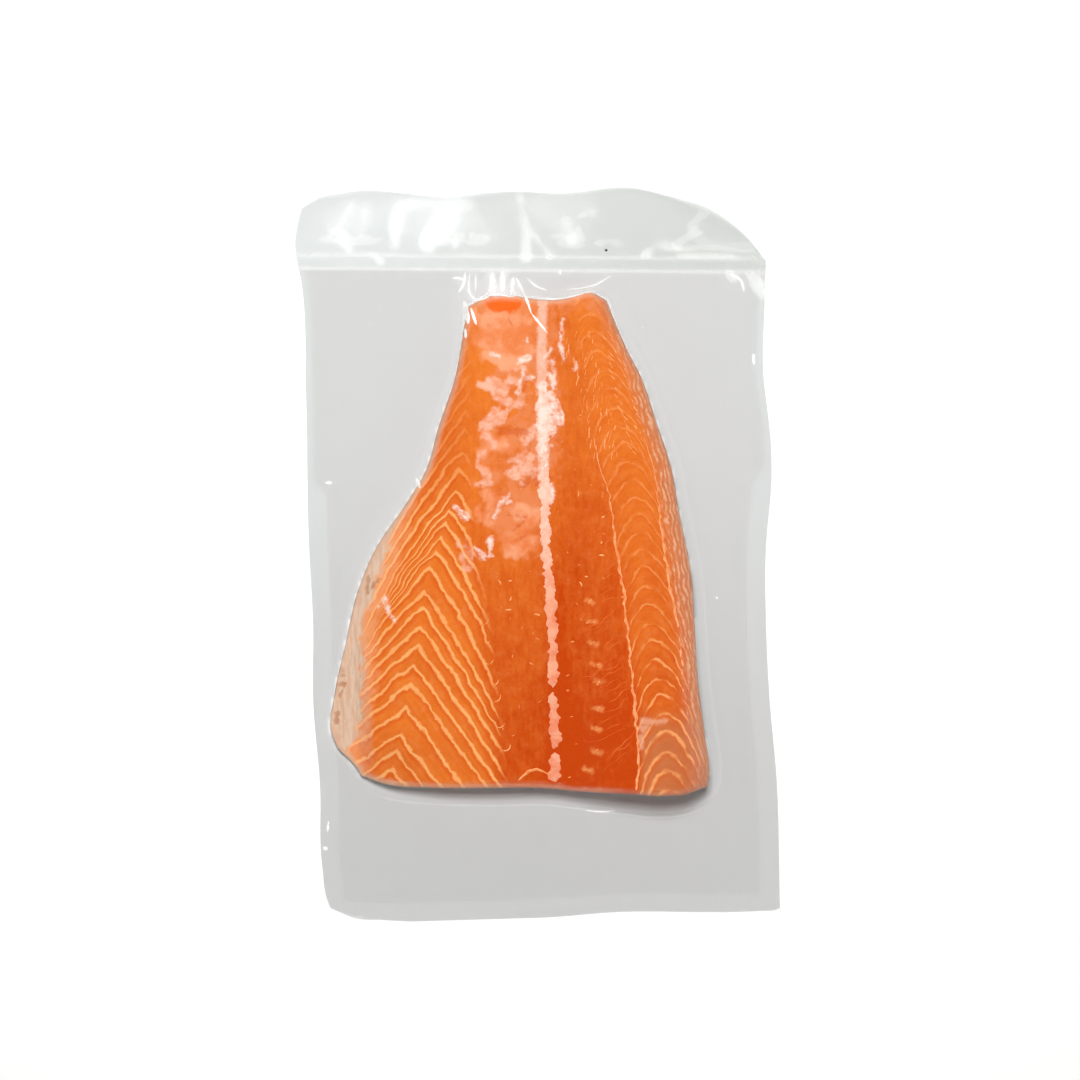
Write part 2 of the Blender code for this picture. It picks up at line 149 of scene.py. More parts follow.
# Where the belly side's bands fade out towards the midline
BELLY_BANDS_INNER = (
    (-100, -17), (-60, -19.5), (-35, -21.5), (-10, -25), (20, -27.5), (45, -28), (105, -25),
)

# Muscle bands of the back
BACK_RIDGE = (
    (-107, 49), (-82, 48.4), (-58.7, 47.3), (-44.9, 45.6), (-15.2, 42.6), (20.3, 39), (41, 35.6),
    (73, 28.2), (97, 22.8), (140, 16),
)
BACK_TURNS = (
    -104, -96.5, -89.3, -82.3, -73.3, -66, -58.7, -51.8, -44.9, -37.5, -30.2, -22.7, -15.2, -8, -0.7, 6.5,
    13.8, 21, 28.4, 35.7, 43, 50.3, 57.8, 65, 72.9, 80.7, 88.6, 96.4, *range(104, 147, 7),
)
BACK_INNER_FALL, BACK_INNER_BEND = 0.20, 0.130
BACK_OUTER_FALL, BACK_OUTER_BEND, BACK_STRAIGHT = 0.05, 0.095, 20

# The two long seams of the back: (place along the fillet, x)
INNER_SEAM = (
    (-100, 36), (-87, 37.2), (-72, 37), (-58, 36.3), (-41, 35.1), (-23, 34), (-4, 31.7), (8, 30.3),
    (20.4, 29.3), (35, 25.5), (46.5, 23.4), (60, 21.5), (105, 16),
)
OUTER_SEAM = (
    (-100, 59.8), (-79, 58.7), (-62.5, 56.3), (-47, 56.3), (-32.5, 55.2), (-18.5, 52.8), (0, 50.4),
    (15, 49.2), (26, 48.2), (38.5, 45.8), (49, 42.8), (75, 36), (105, 27),
)

# Strip of connective tissue on the midline: (place along the fillet, x, half its width), in three lengths
MIDLINE_STRIP = (
    (
        (-93.4, 3.4, 1.4), (-91.5, 3.4, 2.4), (-88, 3.5, 2.1), (-85, 3.6, 2.3), (-82.4, 3.7, 1.9),
        (-81.2, 3.7, 1.2),
    ),
    (
        (-80, 3.4, 0.9), (-77, 4.2, 2.1), (-75, 4.4, 2.4), (-71.5, 3.9, 1.7), (-68, 4.3, 2.4),
        (-64.5, 3.9, 1.3), (-61, 4, 1.9), (-58.5, 3.7, 1.3), (-56.8, 3.4, 0.6),
    ),
    (
        (-55.2, 3.8, 0.8), (-53, 3.9, 1.7), (-47, 4.1, 2.1), (-43.5, 3.8, 1.5), (-40, 4.4, 2.3),
        (-36, 4.2, 1.7), (-30, 4.3, 2.4), (-26.5, 4, 1.8), (-22, 4.1, 2.4),
        (-18, 4.1, 1.8), (-13, 3.7, 2.2), (-7, 3.2, 1.6),
        (-2, 2.6, 2.1), (2, 2.7, 1.6), (5, 2.4, 2), (9, 2.8, 2.4), (13, 2.7, 1.7), (16, 3, 2.1),
        (19, 3.2, 1.7), (22, 3.6, 2.9), (25.5, 3.6, 3.2), (28, 3.2, 2),
        (32, 2.9, 2.2), (37, 2.9, 1.8), (42, 2.8, 2),
        (47, 2.5, 1.6),
    ),
)
STRIP_RISE = 0.55
# Near the tail it is a thin, pale streak in the flesh, as tapered strokes
UPPER_STRIP = ((2.6, 42, 3, 66, 1.6, 2), (3, 66, 3.5, 84, 2.1, 1.9), (3.5, 84, 4.3, 102, 1.9, 2))

# Pieces of membrane on the belly side of the midline, as tapered strokes: (x, y, x, y, radius, radius)
MEMBRANES = (
    (-19.9, 94.5, -3.6, 94, 4.6, 4.3), (-21.1, 87.7, -3.3, 87.6, 4.6, 4.3),
    (-17.2, 80.8, -3, 81.3, 4.3, 3.6), (-13.1, 77.9, -5, 76.8, 3.2, 2.7),
    (-19.6, 45.3, -14.2, 43.8, 3.2, 2.5), (-22.5, 39.9, -21.3, 33.5, 2.3, 1.8),
    (-12.5, 5.9, -3.3, 12, 3.6, 2.7), (-9, 2.1, -2.6, 4.2, 5.5, 2.7), (-8.6, 17.2, -2.2, 15.6, 3.2, 2.3),
    (-20, 16.1, -20.1, 11.6, 1.6, 1.6), (-22.5, 23.5, -23.4, 14.9, 1.3, 0.8),
    (-18, 22.9, -19, 17.9, 2.7, 1.8),
)
PALE_MEMBRANES = (
    (-18.4, 68.9, -11.2, 66.5, 3.6, 3.2), (-9.7, 70.5, -7, 68.6, 2.3, 1.8),
    (-11.3, 64.2, -12.8, 58.3, 3, 1.7), (-12.8, 58.3, -19, 51.2, 1.7, 1.9),
    (-4.5, 63.5, -11, 58.7, 1.2, 1.3), (-8.8, 38.6, -1.6, 38.4, 2.3, 2.5), (-9, 32.2, -1.7, 33.8, 2.3, 2),
    (-6.8, 29.4, -6, 28.5, 1.7, 1.4), (-4, 46.6, -0.3, 49.3, 2, 2.7), (-23.3, 28.5, -19.2, 28.9, 1.5, 0.6),
    (-20.9, 46.2, -17.8, 44.8, 1.4, 1.1), (-22.5, 39, -21.8, 31.7, 1.3, 1.1),
    (-34.3, 9.3, -30.4, 1.9, 0.4, 0.7), (-30.4, 1.9, -28.1, -4.6, 0.7, 0.4),
)
WHITE_SHREDS = (
    (-5.4, 77, -2.4, 78.5, 1.3, 1.5), (-4.6, 74, -6.3, 64, 0.7, 0.5), (-2.9, 71.2, 0.3, 70.7, 0.6, 0.7),
    (-1.9, 87.8, -1.9, 85.3, 0.5, 0.5), (6.7, 70.9, 7.5, 66.8, 1.6, 1), (6, 63.2, 9.8, 53.5, 2, 2.3),
    (3.4, 66.9, 3.4, 50.5, 2, 2.8), (8.1, 71.4, 9.5, 73.6, 0.7, 0.5), (13.1, 94, 11.9, 89.5, 0.5, 0.6),
    (10.4, 88.1, 11.2, 85.4, 0.8, 0.6), (11.6, 83.6, 12.6, 77.6, 1.2, 0.5), (8, 77.7, 8.2, 74.5, 0.5, 0.4),
    (7, 82.3, 4.9, 79, 0.6, 0.8), (16.9, 77, 17, 73.4, 0.5, 0.6), (-17.2, 80.8, -14.4, 80.2, 0.8, 0.7),
    (2.9, 51, 6.5, 50.4, 2.5, 2.7), (3.3, 47.3, 2.5, 36.9, 1.9, 1.8), (2.5, 36.9, 2.3, 30.1, 2, 1.6),
    (3.7, 24.1, 3.8, 20.9, 3.4, 1.9), (6.1, 26.3, 6.6, 28.1, 1.1, 0.5), (-33.1, 19.7, -28.7, 15, 1.3, 1.5),
    (-17.8, 13.8, -14.4, 21, 0.5, 0.6), (-14.4, 21, -11.1, 23.6, 0.6, 0.4),
    (-12.1, 20.9, -11.9, 20.7, 1, 1), (-19.2, 6.1, -20.3, -1.2, 1.2, 0.5),
    (-26.3, 2.2, -22.8, -1.6, 0.9, 1.2), (-20.3, -1.2, -18.7, -1.7, 0.5, 0.5),
    (6.4, 44.5, 6.3, 43.6, 0.6, 0.6), (5, 62, 6.6, 56, 2.4, 3), (-63.8, -16.8, -63.2, -18.4, 0.5, 0.8),
    (-62.8, -21, -62, -22.8, 1, 0.9), (-60.4, -24.6, -59.4, -25.6, 0.8, 0.6),
    (-65.6, -19.4, -66.4, -20.2, 0.4, 0.3),
)
# Left edge of the thin membrane that still covers the flesh beside the midline: (place along the fillet, x)
VEIL_EDGE = (
    (-12, -3), (-6, -6), (2, -13), (10, -20), (20, -23), (34, -24), (47, -22), (52, -16), (57, -9),
    (64, -14), (70, -19), (77, -17), (84, -21), (105, -24),
)
DULL_PATCHES = (
    (40, -69.5, 48.6, -69.8, 1.5, 0.9), (39.6, -72.4, 41.2, -71.6, 1.7, 1),
    (38.8, -75.5, 38.6, -80, 0.9, 0.5),
)
# Creases darkened with painted shade, the bare hollow at the tail's cut, and bruises on the belly flap, as
# strokes too
CREASES = (
    (-12.3, 15, -5, 14.1, 0.4, 0.4), (-11.6, 7.9, -5, 13.4, 0.4, 0.3), (-11.7, 4.3, -5.2, 6.6, 0.3, 0.3),
    (-1.8, 45.7, -2.8, 41.6, 0.4, 0.4), (-5.6, 26.6, -3.6, 29.3, 0.9, 1.4),
    (-0.9, 29.2, -0.1, 27.4, 1.1, 0.9), (-9.7, 95, -8.4, 92.2, 0.4, 0.3), (-2.6, 71.6, -4.4, 66, 0.5, 0.9),
    (-14, 49.6, -3.6, 48.6, 1.5, 1.2),
)
TAIL_HOLLOW = (
    (-15.4, 101.6, -13.2, 100.9, 2.8, 3.2), (-9.4, 100.8, -6.6, 101, 3.2, 2.4),
    (-18.8, 102.7, -17, 101.9, 1, 1.4),
)
BRUISES = (
    (-70, -8.1, -70.6, -15, 0.8, 0.4), (-70.6, -15, -65.6, -9, 0.4, 0.7),
    (-82.1, -45.4, -81.8, -48.1, 0.7, 0.8), (-84, -52.2, -81.2, -51.6, 0.7, 0.7),
    (-83.5, -57, -80.9, -51.6, 0.5, 0.5), (-84.7, -63.8, -84.8, -67.2, 1, 0.8),
)
# Flecks of fat in a row beside the back's inner seam, others, and the hooked feet of the belly bands: (x, y)
ROW_FLECKS = (
    (20.8, -37.7), (21.4, -46.4), (22.4, -53.3), (21.8, -64), (21, -72.4), (20.4, -81.4), (17, -88.8),
    (20, -28.8), (19.6, -20.5),
)
LOOSE_FLECKS = (
    (18.1, -10.4), (15.8, -12.5), (9.2, -56.5), (-5.5, -44.7), (-17, -10.9), (-13, -11.3), (-3, -25.2),
    (-14.5, -23), (-12.6, -19.4), (25.6, 13), (24.8, 2.6), (23.8, -2), (16.3, 22), (11.5, -37),
)
BAND_FEET = (
    (-19.4, -54.4), (-18.6, -61.3), (-17.4, -71.6), (-15, -81.4), (-20.8, -46), (-22, -37.5), (-23.4, -29.5),
)
SPECKS = 60
LOWEST_STRAND = ((-12.8, -93.6), (-10, -91.2), (-7.1, -88.8), (-3.7, -88.1), (-1.2, -89), (1.2, -90.4))
LOWEST_THREAD = -95
# Inner edge of the pale belly flap: (place along the fillet, x)
PALE_FLAP = (
    (-105, -82), (-79, -79.2), (-71, -76), (-58, -74.2), (-42, -72.6), (-26, -71.5), (-13.7, -66.8),
    (-4, -63.2), (6, -60.2), (20, -56), (105, -40),
)
# How light the flesh is along the fillet, from 0 to 1: in the middle, past the inner seam and on the belly
MIDDLE_TONE = ((-100, 0.04), (-75, 0.08), (-50, 0.20), (-20, 0.36), (20, 0.58), (60, 0.74), (105, 0.85))
BACK_TONE = ((-100, 0.34), (-60, 0.40), (-40, 0.48), (0, 0.62), (40, 0.76), (105, 0.84))
BELLY_TONE = ((-100, 0.70), (-50, 0.84), (0, 0.86), (40, 0.60), (105, 0.66))

# Pleats of the film, most of them between the tail and the seal: half width, rise, then x, y along each one
PLEATS = (
    (0.45, 0.5, -27.1, 115.4, -27.7, 110.8, -29.9, 107.2),
    (0.35, 0.4, -32.3, 112.7, -30.4, 113.3, -27.7, 112),
    (0.38, 0.5, -25.3, 114.8, -25, 106.1, -23.3, 104.2, -21, 104.4, -17.6, 107.4, -16.3, 114.5),
    (0.28, 0.3, -22.7, 114.7, -22.9, 107.5),
    (0.85, 0.6, -15.8, 114.9, -16.2, 110, -17, 106.2),
    (0.90, 0.6, -11.7, 115.2, -11.8, 110, -12.2, 105.8),
    (0.75, 0.6, -7.4, 112.6, -7.9, 109, -8.6, 105),
    (0.55, 0.5, -6.1, 112.4, -2.8, 104.9, -0.4, 97.1),
    (0.40, 0.4, -0.4, 97.1, 2.6, 93.2, 5.8, 89),
    (0.42, 0.4, -24.4, 103.2, -19.2, 103.9, -16.6, 105.4, -13, 105.3, -9.4, 104.4, -6.9, 104.3),
    (1, 0.6, -28, 103.5, -27.5, 102, -26.2, 93.8),
    (0.70, 0.4, -25, 100.2, -22.9, 93.2),
    (0.60, 0.4, -27.6, 92, -27.4, 88),
    (0.26, 0.3, -2, 104.4, 4.4, 103.6, 10, 102.9, 15.1, 103.2, 21.8, 104.7, 27, 105.8),
    (0.28, 0.25, -2, 112.6, 2, 108.8, 6.5, 106.9),
    (0.32, 0.35, 14.2, 107.1, 20.9, 107.4, 27.1, 109.1, 32.8, 112.3),
    (0.45, 0.3, 11.9, 115, 11.8, 113.4),
    (0.50, 0.3, 81.5, 111.8, 86, 108.4, 87, 104),
    (0.90, 0.5, -49.6, 31.6, -48.4, 29, -47.8, 27.4),
    (0.80, 0.4, -91.6, -119.8, -91, -118.2),
    (0.45, 0.3, -90.2, -112.2, -89.6, -107.6),
    (0.28, 0.25, 16, -106.6, 22, -107.2, 28.2, -106.9),
    (0.45, 0.3, -87, 30.9, -84, 30.7),
    (0.60, 0.3, 90, 78.5, 90.2, 74),
    (0.45, 0.3, 72, -20.6, 72.3, -21.6),
)
# Sheen where the header's loose film is crumpled, as strokes: painted as white haze, partly the crumpled
# film's whitening and partly painted reflection
HEADER_SHEEN = (
    (-79.2, 133, -74.6, 127.4, 2.7, 1.6), (-66.3, 143.5, -68.9, 132.7, 1, 1.1),
    (-72.7, 144.4, -77.8, 134.3, 1.4, 1.9), (-51.5, 143.8, -25.6, 143, 1.8, 2.2),
    (-53.6, 141.8, -56.1, 128.2, 2.2, 2.5), (-33.9, 138.5, -42.4, 127.8, 5.7, 3.6),
    (-31, 127.2, -30.7, 126.3, 1.2, 1.2), (-65.5, 125, -61.1, 120.8, 0.5, 0.4),
    (-3.6, 145.1, -1.1, 130.6, 1.6, 1.2), (-1.1, 130.6, -1.9, 121.1, 1.2, 2.3),
    (2.1, 129.2, 8, 120.8, 1, 1.5), (14.5, 135.6, 17.7, 127.4, 1.1, 1.9),
    (15.2, 134.3, 25.6, 138.1, 1, 1.2), (46.9, 120.3, 51.8, 124.3, 0.8, 1.4),
    (51.8, 124.3, 60.6, 122.7, 1.4, 1.6), (60.6, 119.9, 84.5, 118.8, 0.7, 1),
    (81.5, 111.1, 82.8, 109, 1, 1.2), (89.7, 110.2, 95.6, 103.8, 1.9, 2.7),
    (-16, 114, -14.6, 106.5, 0.6, 2.4), (-11.6, 114, -12.4, 106.5, 0.6, 1.6),
    (-7.2, 111, -7.6, 105.6, 0.3, 1.2),
)
# Broad, soft painted sheen round those, and where the film is gathered at the tail
SOFT_SHEEN = (
    (-77.7, 137, -66.7, 139.4, 6.2, 5.5), (-51.7, 139, -27.1, 136.9, 8.2, 8.2),
    (3.1, 141.5, 25, 142.2, 4.8, 4.1), (3.1, 141.5, 17.8, 130.1, 4.8, 4.1),
    (-21.7, 135.4, -16.4, 129.7, 3, 2.7), (-17.8, 114, -17.5, 106.5, 3, 3.4),
    (-10, 114, -9.2, 105.5, 1.8, 2.4), (-27.5, 104, -26.5, 96, 1.4, 1.2), (-28, 112, -25, 107, 2, 2.4),
)
HEADER_SPECK = (31, 122.8)

# Spacing of the meshes: number of columns and rows, or runs of (from, to, step)
FLESH_COLUMNS, FLESH_ROWS = 250, 330
FILM_X_RUNS = ((-0.5 * POUCH_WIDTH, -36, 1.8), (-36, 40, 0.75), (40, 0.5 * POUCH_WIDTH, 1.8))
FILM_Y_RUNS = ((-0.5 * POUCH_LENGTH, 84, 1.7), (84, 124, 0.75), (124, 0.5 * POUCH_LENGTH, 1.3))
FILM_CLEARANCE = 0.3
RIBBON_ROOT = 0.3

# Relief of the flesh
BELLY_SWELL = 0.30
BACK_SWELL = 0.24
MEMBRANE_RISE = 0.14
PALE_RISE = 0.20
SHRED_RISE = 0.25
HOLLOW_DEPTH = 0.40
CREASE_DEPTH = 0.25

# Camera
CAMERA_AIM = (0.41, 4.81)
CAMERA_ROLL = math.radians(-1.7)
CAMERA_HEIGHT = 1600
VIEW_WIDTH = 1080 * 0.41
SENSOR = 36

# Floor and lights, in metres: a light has its name, place, size and power, and True if it is reflected
FLOOR_HALF = 3.0
LIGHTS = (
    ("key", (0.0, 0.30, 1.30), (0.32, 0.32), 18.5, False),
    ("panel", (0.0, -0.85, 1.45), (0.9, 0.35), 1.6, True),
)


# Curves and areas


def smooth(at, stations):
    """The value at a place on a smooth curve through (place, value) stations."""
    places, values = np.array(stations, float).T
    slopes = np.gradient(values, places)
    at = np.clip(at, places[0], places[-1])
    i = np.clip(np.searchsorted(places, at) - 1, 0, len(places) - 2)
    gap = places[i + 1] - places[i]
    t = (at - places[i]) / gap
    start = (1 + 2 * t) * (1 - t) ** 2 * values[i] + t * (1 - t) ** 2 * gap * slopes[i]
    end = t * t * (3 - 2 * t) * values[i + 1] + t * t * (t - 1) * gap * slopes[i + 1]
    return start + end


def eased(t):
    """0 below 0, 1 above 1, and smooth between."""
    t = np.clip(t, 0.0, 1.0)
    return t * t * (3 - 2 * t)


def patchy(x, y, size, seed):
    """Smooth random variation from -1 to 1, in patches of about a size."""
    table = np.random.default_rng(seed).uniform(-1, 1, (64, 64))
    i, j = np.floor(x / size).astype(int), np.floor(y / size).astype(int)
    fx, fy = eased(x / size - i), eased(y / size - j)

    def corner(a, b):
        return table[(i + a) % 64, (j + b) % 64]

    low = corner(0, 0) * (1 - fx) + corner(1, 0) * fx
    high = corner(0, 1) * (1 - fx) + corner(1, 1) * fx
    return low * (1 - fy) + high * fy


def set_back(at, stations):
    return np.maximum(smooth(at, stations), 0)


def fillet_sides(y):
    return MIDLINE_X - smooth(y, BELLY_REACH), MIDLINE_X + smooth(y, BACK_REACH)


def pouch_sides(y):
    return set_back(y, LEFT_DIPS) - POUCH_WIDTH / 2, POUCH_WIDTH / 2 - set_back(y, RIGHT_DIPS)


def mapped(u, v, y, near_cut, far_cut, sides):
    """Points of an area between two sides and two shaped ends, where u and v run from 0 to 1."""
    across = 2 * u - 1
    y = y + set_back(across, near_cut) * (1 - v) ** CUT_FADE - set_back(across, far_cut) * v**CUT_FADE
    left, right = sides(y)
    return np.stack([left + u * (right - left), y], -1)


def fillet_point(u, v):
    return mapped(u, v, THICK_Y + v * FILLET_LENGTH, THICK_CUT, TAIL_CUT, fillet_sides)


def pouch_point(u, v):
    return mapped(u, v, (v - 0.5) * POUCH_LENGTH, BOTTOM_DIPS, TOP_DIPS, pouch_sides)


def run_along(points):
    """How far along a line each of its points is."""
    return np.concatenate([[0], np.cumsum(np.linalg.norm(np.diff(points, axis=0), axis=1))])


def loop_round(point, step):
    """The closed outline of a mapped area, anticlockwise, with a point about every step."""
    fine = np.linspace(0, 1, 400)
    one, none = np.ones_like(fine), np.zeros_like(fine)
    loop = []
    for side in (point(fine, none), point(one, fine), point(fine[::-1], one), point(none, fine[::-1])):
        length = run_along(side)
        count = max(2, round(length[-1] / step))
        at = np.linspace(0, length[-1], count + 1)[:-1]
        loop.append(np.stack([np.interp(at, length, side[:, k]) for k in range(2)], -1))
    return np.concatenate(loop)


def outward(loop):
    """The outward direction at each point of an anticlockwise loop."""
    along = np.roll(loop, -1, 0) - np.roll(loop, 1, 0)
    normal = np.stack([along[:, 1], -along[:, 0]], -1)
    return normal / np.linalg.norm(normal, axis=1)[:, None]


def distance(points, loop):
    """How far each point is from a closed loop, and where on the loop the nearest place is."""
    side = np.roll(loop, -1, 0) - loop
    gaps, feet = [], []
    for part in np.array_split(points, max(1, len(points) // 4000)):
        share = ((part[:, None] - loop) * side).sum(-1) / (side**2).sum(-1)
        nearest = loop + np.clip(share, 0, 1)[..., None] * side
        gap = np.linalg.norm(part[:, None] - nearest, axis=-1)
        best = gap.argmin(1)
        rows = np.arange(len(part))
        gaps.append(gap[rows, best])
        feet.append(nearest[rows, best])
    return np.concatenate(gaps), np.concatenate(feet)


def inside(points, loop):
    """True for each point within a closed loop."""
    x, y = points[:, 0, None], points[:, 1, None]
    (x0, y0), (x1, y1) = loop.T, np.roll(loop, -1, 0).T
    with np.errstate(divide="ignore", invalid="ignore"):
        crossing = ((y0 > y) != (y1 > y)) & (x < (x1 - x0) * (y - y0) / (y1 - y0) + x0)
    return crossing.sum(1) % 2 == 1


def strokes(x, y, table):
    """How far each point is outside the nearest of several tapered strokes. Inside one it is negative."""
    nearest = np.full_like(x, 1e3)
    for x0, y0, x1, y1, r0, r1 in table:
        dx, dy = x1 - x0, y1 - y0
        share = np.clip(((x - x0) * dx + (y - y0) * dy) / (dx * dx + dy * dy), 0, 1)
        gap = np.hypot(x - x0 - share * dx, y - y0 - share * dy)
        nearest = np.minimum(nearest, gap - r0 - share * (r1 - r0))
    return nearest


FILLET_LOOP = loop_round(fillet_point, 3.0)


# Muscle bands


def belly_fall(offset, turn):
    """How far along the fillet a belly band has fallen at an offset from the ridge, by where it turns."""
    side = np.abs(offset)
    outer = smooth(turn, BELLY_OUTER_FALL) * side + smooth(turn, BELLY_OUTER_BEND) * side**2
    inner = smooth(turn, BELLY_INNER_FALL) * side + smooth(turn, BELLY_INNER_BEND) * side**2
    return np.where(offset < 0, outer, inner)


def back_fall(offset, turn):
    side = np.abs(offset)
    bent = np.minimum(side, BACK_STRAIGHT)
    outer = BACK_OUTER_FALL * side + BACK_OUTER_BEND * (bent**2 + 2 * BACK_STRAIGHT * (side - bent))
    inner = BACK_INNER_FALL * side + BACK_INNER_BEND * side**2
    return np.where(offset < 0, inner, outer)


def band_number(x, y, ridge, fall, turns):
    """Which muscle band a point is in: a whole number on the line between two bands."""
    turn = y.copy()
    for _ in range(24):
        turn = 0.5 * turn + 0.5 * (y + fall(x - smooth(turn, ridge), turn))
    return np.interp(turn, turns, np.arange(len(turns)))


def bands(x, y, ridge, fall, turns):
    """Each point's band number, and the width of a band there."""
    nudge = 0.05
    here = band_number(x, y, ridge, fall, turns)
    across = (band_number(x + nudge, y, ridge, fall, turns) - here) / nudge
    along = (band_number(x, y + nudge, ridge, fall, turns) - here) / nudge
    return here, 1 / np.maximum(np.hypot(across, along), 0.02)


def to_line(number):
    """0 on a line between bands, and 1 in the middle of a band."""
    return 2 * np.abs(number - np.round(number))


# Forms


def flesh_height(x, y):
    """Height of the fillet over its skin, before its edges are rounded."""
    from_midline = x - MIDLINE_X
    reach = np.where(from_midline < 0, smooth(y, BELLY_REACH), smooth(y, BACK_REACH))
    across = np.clip(from_midline / reach, -1, 1)
    to_tail = eased((y - THICK_Y) / FILLET_LENGTH)
    height = smooth(across, THICK_PROFILE) * (1 - to_tail) + smooth(across, TAIL_PROFILE) * to_tail
    muscle = eased((from_midline + smooth(y, FLAP_EDGE)) / FLAP_STEP + 0.5)
    return FLAP_THICKNESS + (height - FLAP_THICKNESS) * muscle


def rounding(gap, radius):
    """How far a surface has dropped at a gap from an edge that is rounded to a radius."""
    left = np.clip(1 - gap / radius, 0, 1)
    return radius * (1 - np.sqrt(1 - left**2))


def flesh_surface(x, y):
    """Height of the flesh without its fine relief, and the gap from each point to the fillet's outline."""
    gap, _ = distance(np.stack([x, y], -1), FILLET_LOOP)
    height = flesh_height(x, y)
    uneven = 0.35 * patchy(x, y, 17, 3) + 0.12 * patchy(x, y, 6, 4)
    lift = SKIN_LEVEL + height + uneven * eased(gap / 6)
    return lift - rounding(gap, np.minimum(EDGE_ROUNDING, 0.5 * height)), gap


def flesh_fields(x, y):
    """What the flesh's relief and colours are made from at each point."""
    wander_x = x + 0.60 * patchy(x, y, 7, 11) + 0.25 * patchy(x, y, 2.5, 12)
    wander_y = y + 0.95 * patchy(x, y, 6, 13) + 0.38 * patchy(x, y, 2.2, 14)
    belly, belly_width = bands(wander_x, wander_y, BELLY_RIDGE, belly_fall, BELLY_TURNS)
    back, back_width = bands(wander_x, wander_y, BACK_RIDGE, back_fall, BACK_TURNS)
    torn_x = x + 2.0 * patchy(x, y, 4.6, 15) + 0.9 * patchy(x, y, 2.1, 16)
    torn_y = y + 1.7 * patchy(x, y, 4.2, 17) + 0.8 * patchy(x, y, 1.9, 18)
    flap = smooth(y, PALE_FLAP) - x + 1.3 * (to_line(belly) - 0.5)
    smudges = [(fx - 1.5, fy + 0.5, fx + 1.5, fy - 0.3, 0.7, 0.9) for fx, fy in ROW_FLECKS]
    past_inner, past_outer = x - smooth(y, INNER_SEAM), x - smooth(y, OUTER_SEAM)
    belly_side = eased((smooth(y, BELLY_BANDS_INNER) + 3 - x) / 12)
    back_side = eased((past_inner + 3) / 8)
    return {
        "belly_number": belly,
        "belly_width": belly_width,
        "belly_shows": belly_strength(x, y) * eased(0.8 - flap / 3),
        "back_number": back,
        "back_width": back_width,
        "back_shows": back_strength(y, past_inner, past_outer),
        "membrane": strokes(torn_x, torn_y, MEMBRANES),
        "pale": strokes(torn_x, torn_y, PALE_MEMBRANES),
        "shred": strokes(0.5 * (x + torn_x), 0.5 * (y + torn_y), WHITE_SHREDS),
        "dull_patch": strokes(x, y, DULL_PATCHES),
        "upper_strip": strokes(x, y, UPPER_STRIP),
        "smudge": strokes(x, y, smudges),
        "crease": strokes(x, y, CREASES),
        "hollow": strokes(x, y, TAIL_HOLLOW),
        "bruise": strokes(x, y, BRUISES),
        "flap": flap,
        "rim": past_outer,
        "veil": veil(x, y),
        "dull": eased((-62 - y) / 14) * eased(past_inner / 3),
        "edge_highlight": edge_highlight(x, y),
        "tone": flesh_tone(x, y, belly_side, back_side),
        "belly_side": belly_side,
        "back_side": back_side,
    }


def belly_strength(x, y):
    """How clearly the belly side's lines show."""
    inner = smooth(y, BELLY_BANDS_INNER)
    return eased((inner - x) / 5 + 0.5) * (0.28 + 0.72 * eased((48 - y) / 34))


def back_strength(y, past_inner, past_outer):
    """How clearly the back's lines show."""
    thick = eased((-15 - y) / 40)
    between = eased(past_inner / 1.5) * (0.38 + 0.17 * eased((40 - y) / 80) + 0.45 * thick)
    return between * (1 - 0.25 * eased(past_outer / 3))


def veil(x, y):
    """How far a thin pinkish membrane still covers the flesh on both sides of the midline."""
    belly = np.minimum(np.minimum((x - smooth(y, VEIL_EDGE)) / 3, (5 - x) / 2), (y + 10) / 16)
    back = np.minimum(np.minimum((13 - x) / 6, (x - 2) / 2), (y - 24) / 14)
    tail = np.minimum((y - 92) / 12, (x - 2) / 3)
    return np.clip(np.maximum(np.maximum(belly, back), tail), 0, 1)


def edge_highlight(x, y):
    """How strong the painted highlight along the flesh's outer edge is: most on the belly side, least at the
    back.
    """
    upper_left = 0.42 + 0.40 * eased((-30 - x) / 15) * eased((y + 20) / 20)
    lower_left = 0.40 * eased((-52 - x) / 12) * eased((-66 - y) / 14)
    return upper_left * (1 - 0.6 * eased((x - 20) / 15)) + lower_left


def flesh_tone(x, y, belly, back):
    """0 in the dark flesh beside the midline, and 1 on the pale flanks, by how far a point is on each."""
    lean = 0.24 * (0.5 - eased((x + 6) / 20))
    tone = (smooth(y, MIDDLE_TONE) + lean) * (1 - belly) * (1 - back)
    tone = tone + smooth(y, BELLY_TONE) * belly + smooth(y, BACK_TONE) * back
    tone = tone - 0.30 * np.exp(-(((x - MIDLINE_X - 2.6) / 4.5) ** 2)) * eased((15 - y) / 40)
    return tone + 0.07 * patchy(x, y, 14, 21) + 0.05 * patchy(x, y, 5, 22)


def flesh_relief(fields, x, y):
    """Fine relief of the flesh: bands that swell between their lines, and membranes that lie on top."""
    swell = BELLY_SWELL * fields["belly_shows"] * to_line(fields["belly_number"])
    swell = swell + BACK_SWELL * fields["back_shows"] * to_line(fields["back_number"])
    ragged = 1.2 * patchy(x, y, 2.5, 31)
    skin = MEMBRANE_RISE * eased(0.5 - (fields["membrane"] + ragged) / 1.2)
    skin = skin + PALE_RISE * eased(0.5 - (fields["pale"] + ragged) / 1.2)
    skin = skin + SHRED_RISE * eased(0.5 - (fields["shred"] + 0.4 * ragged) / 1.0)
    hollow = -HOLLOW_DEPTH * eased(0.5 - (fields["hollow"] + 0.5 * ragged) / 1.5)
    hollow = hollow - CREASE_DEPTH * eased(0.5 - fields["crease"] / 0.8)
    return swell + skin + hollow + 0.06 * patchy(x, y, 1.6, 32)


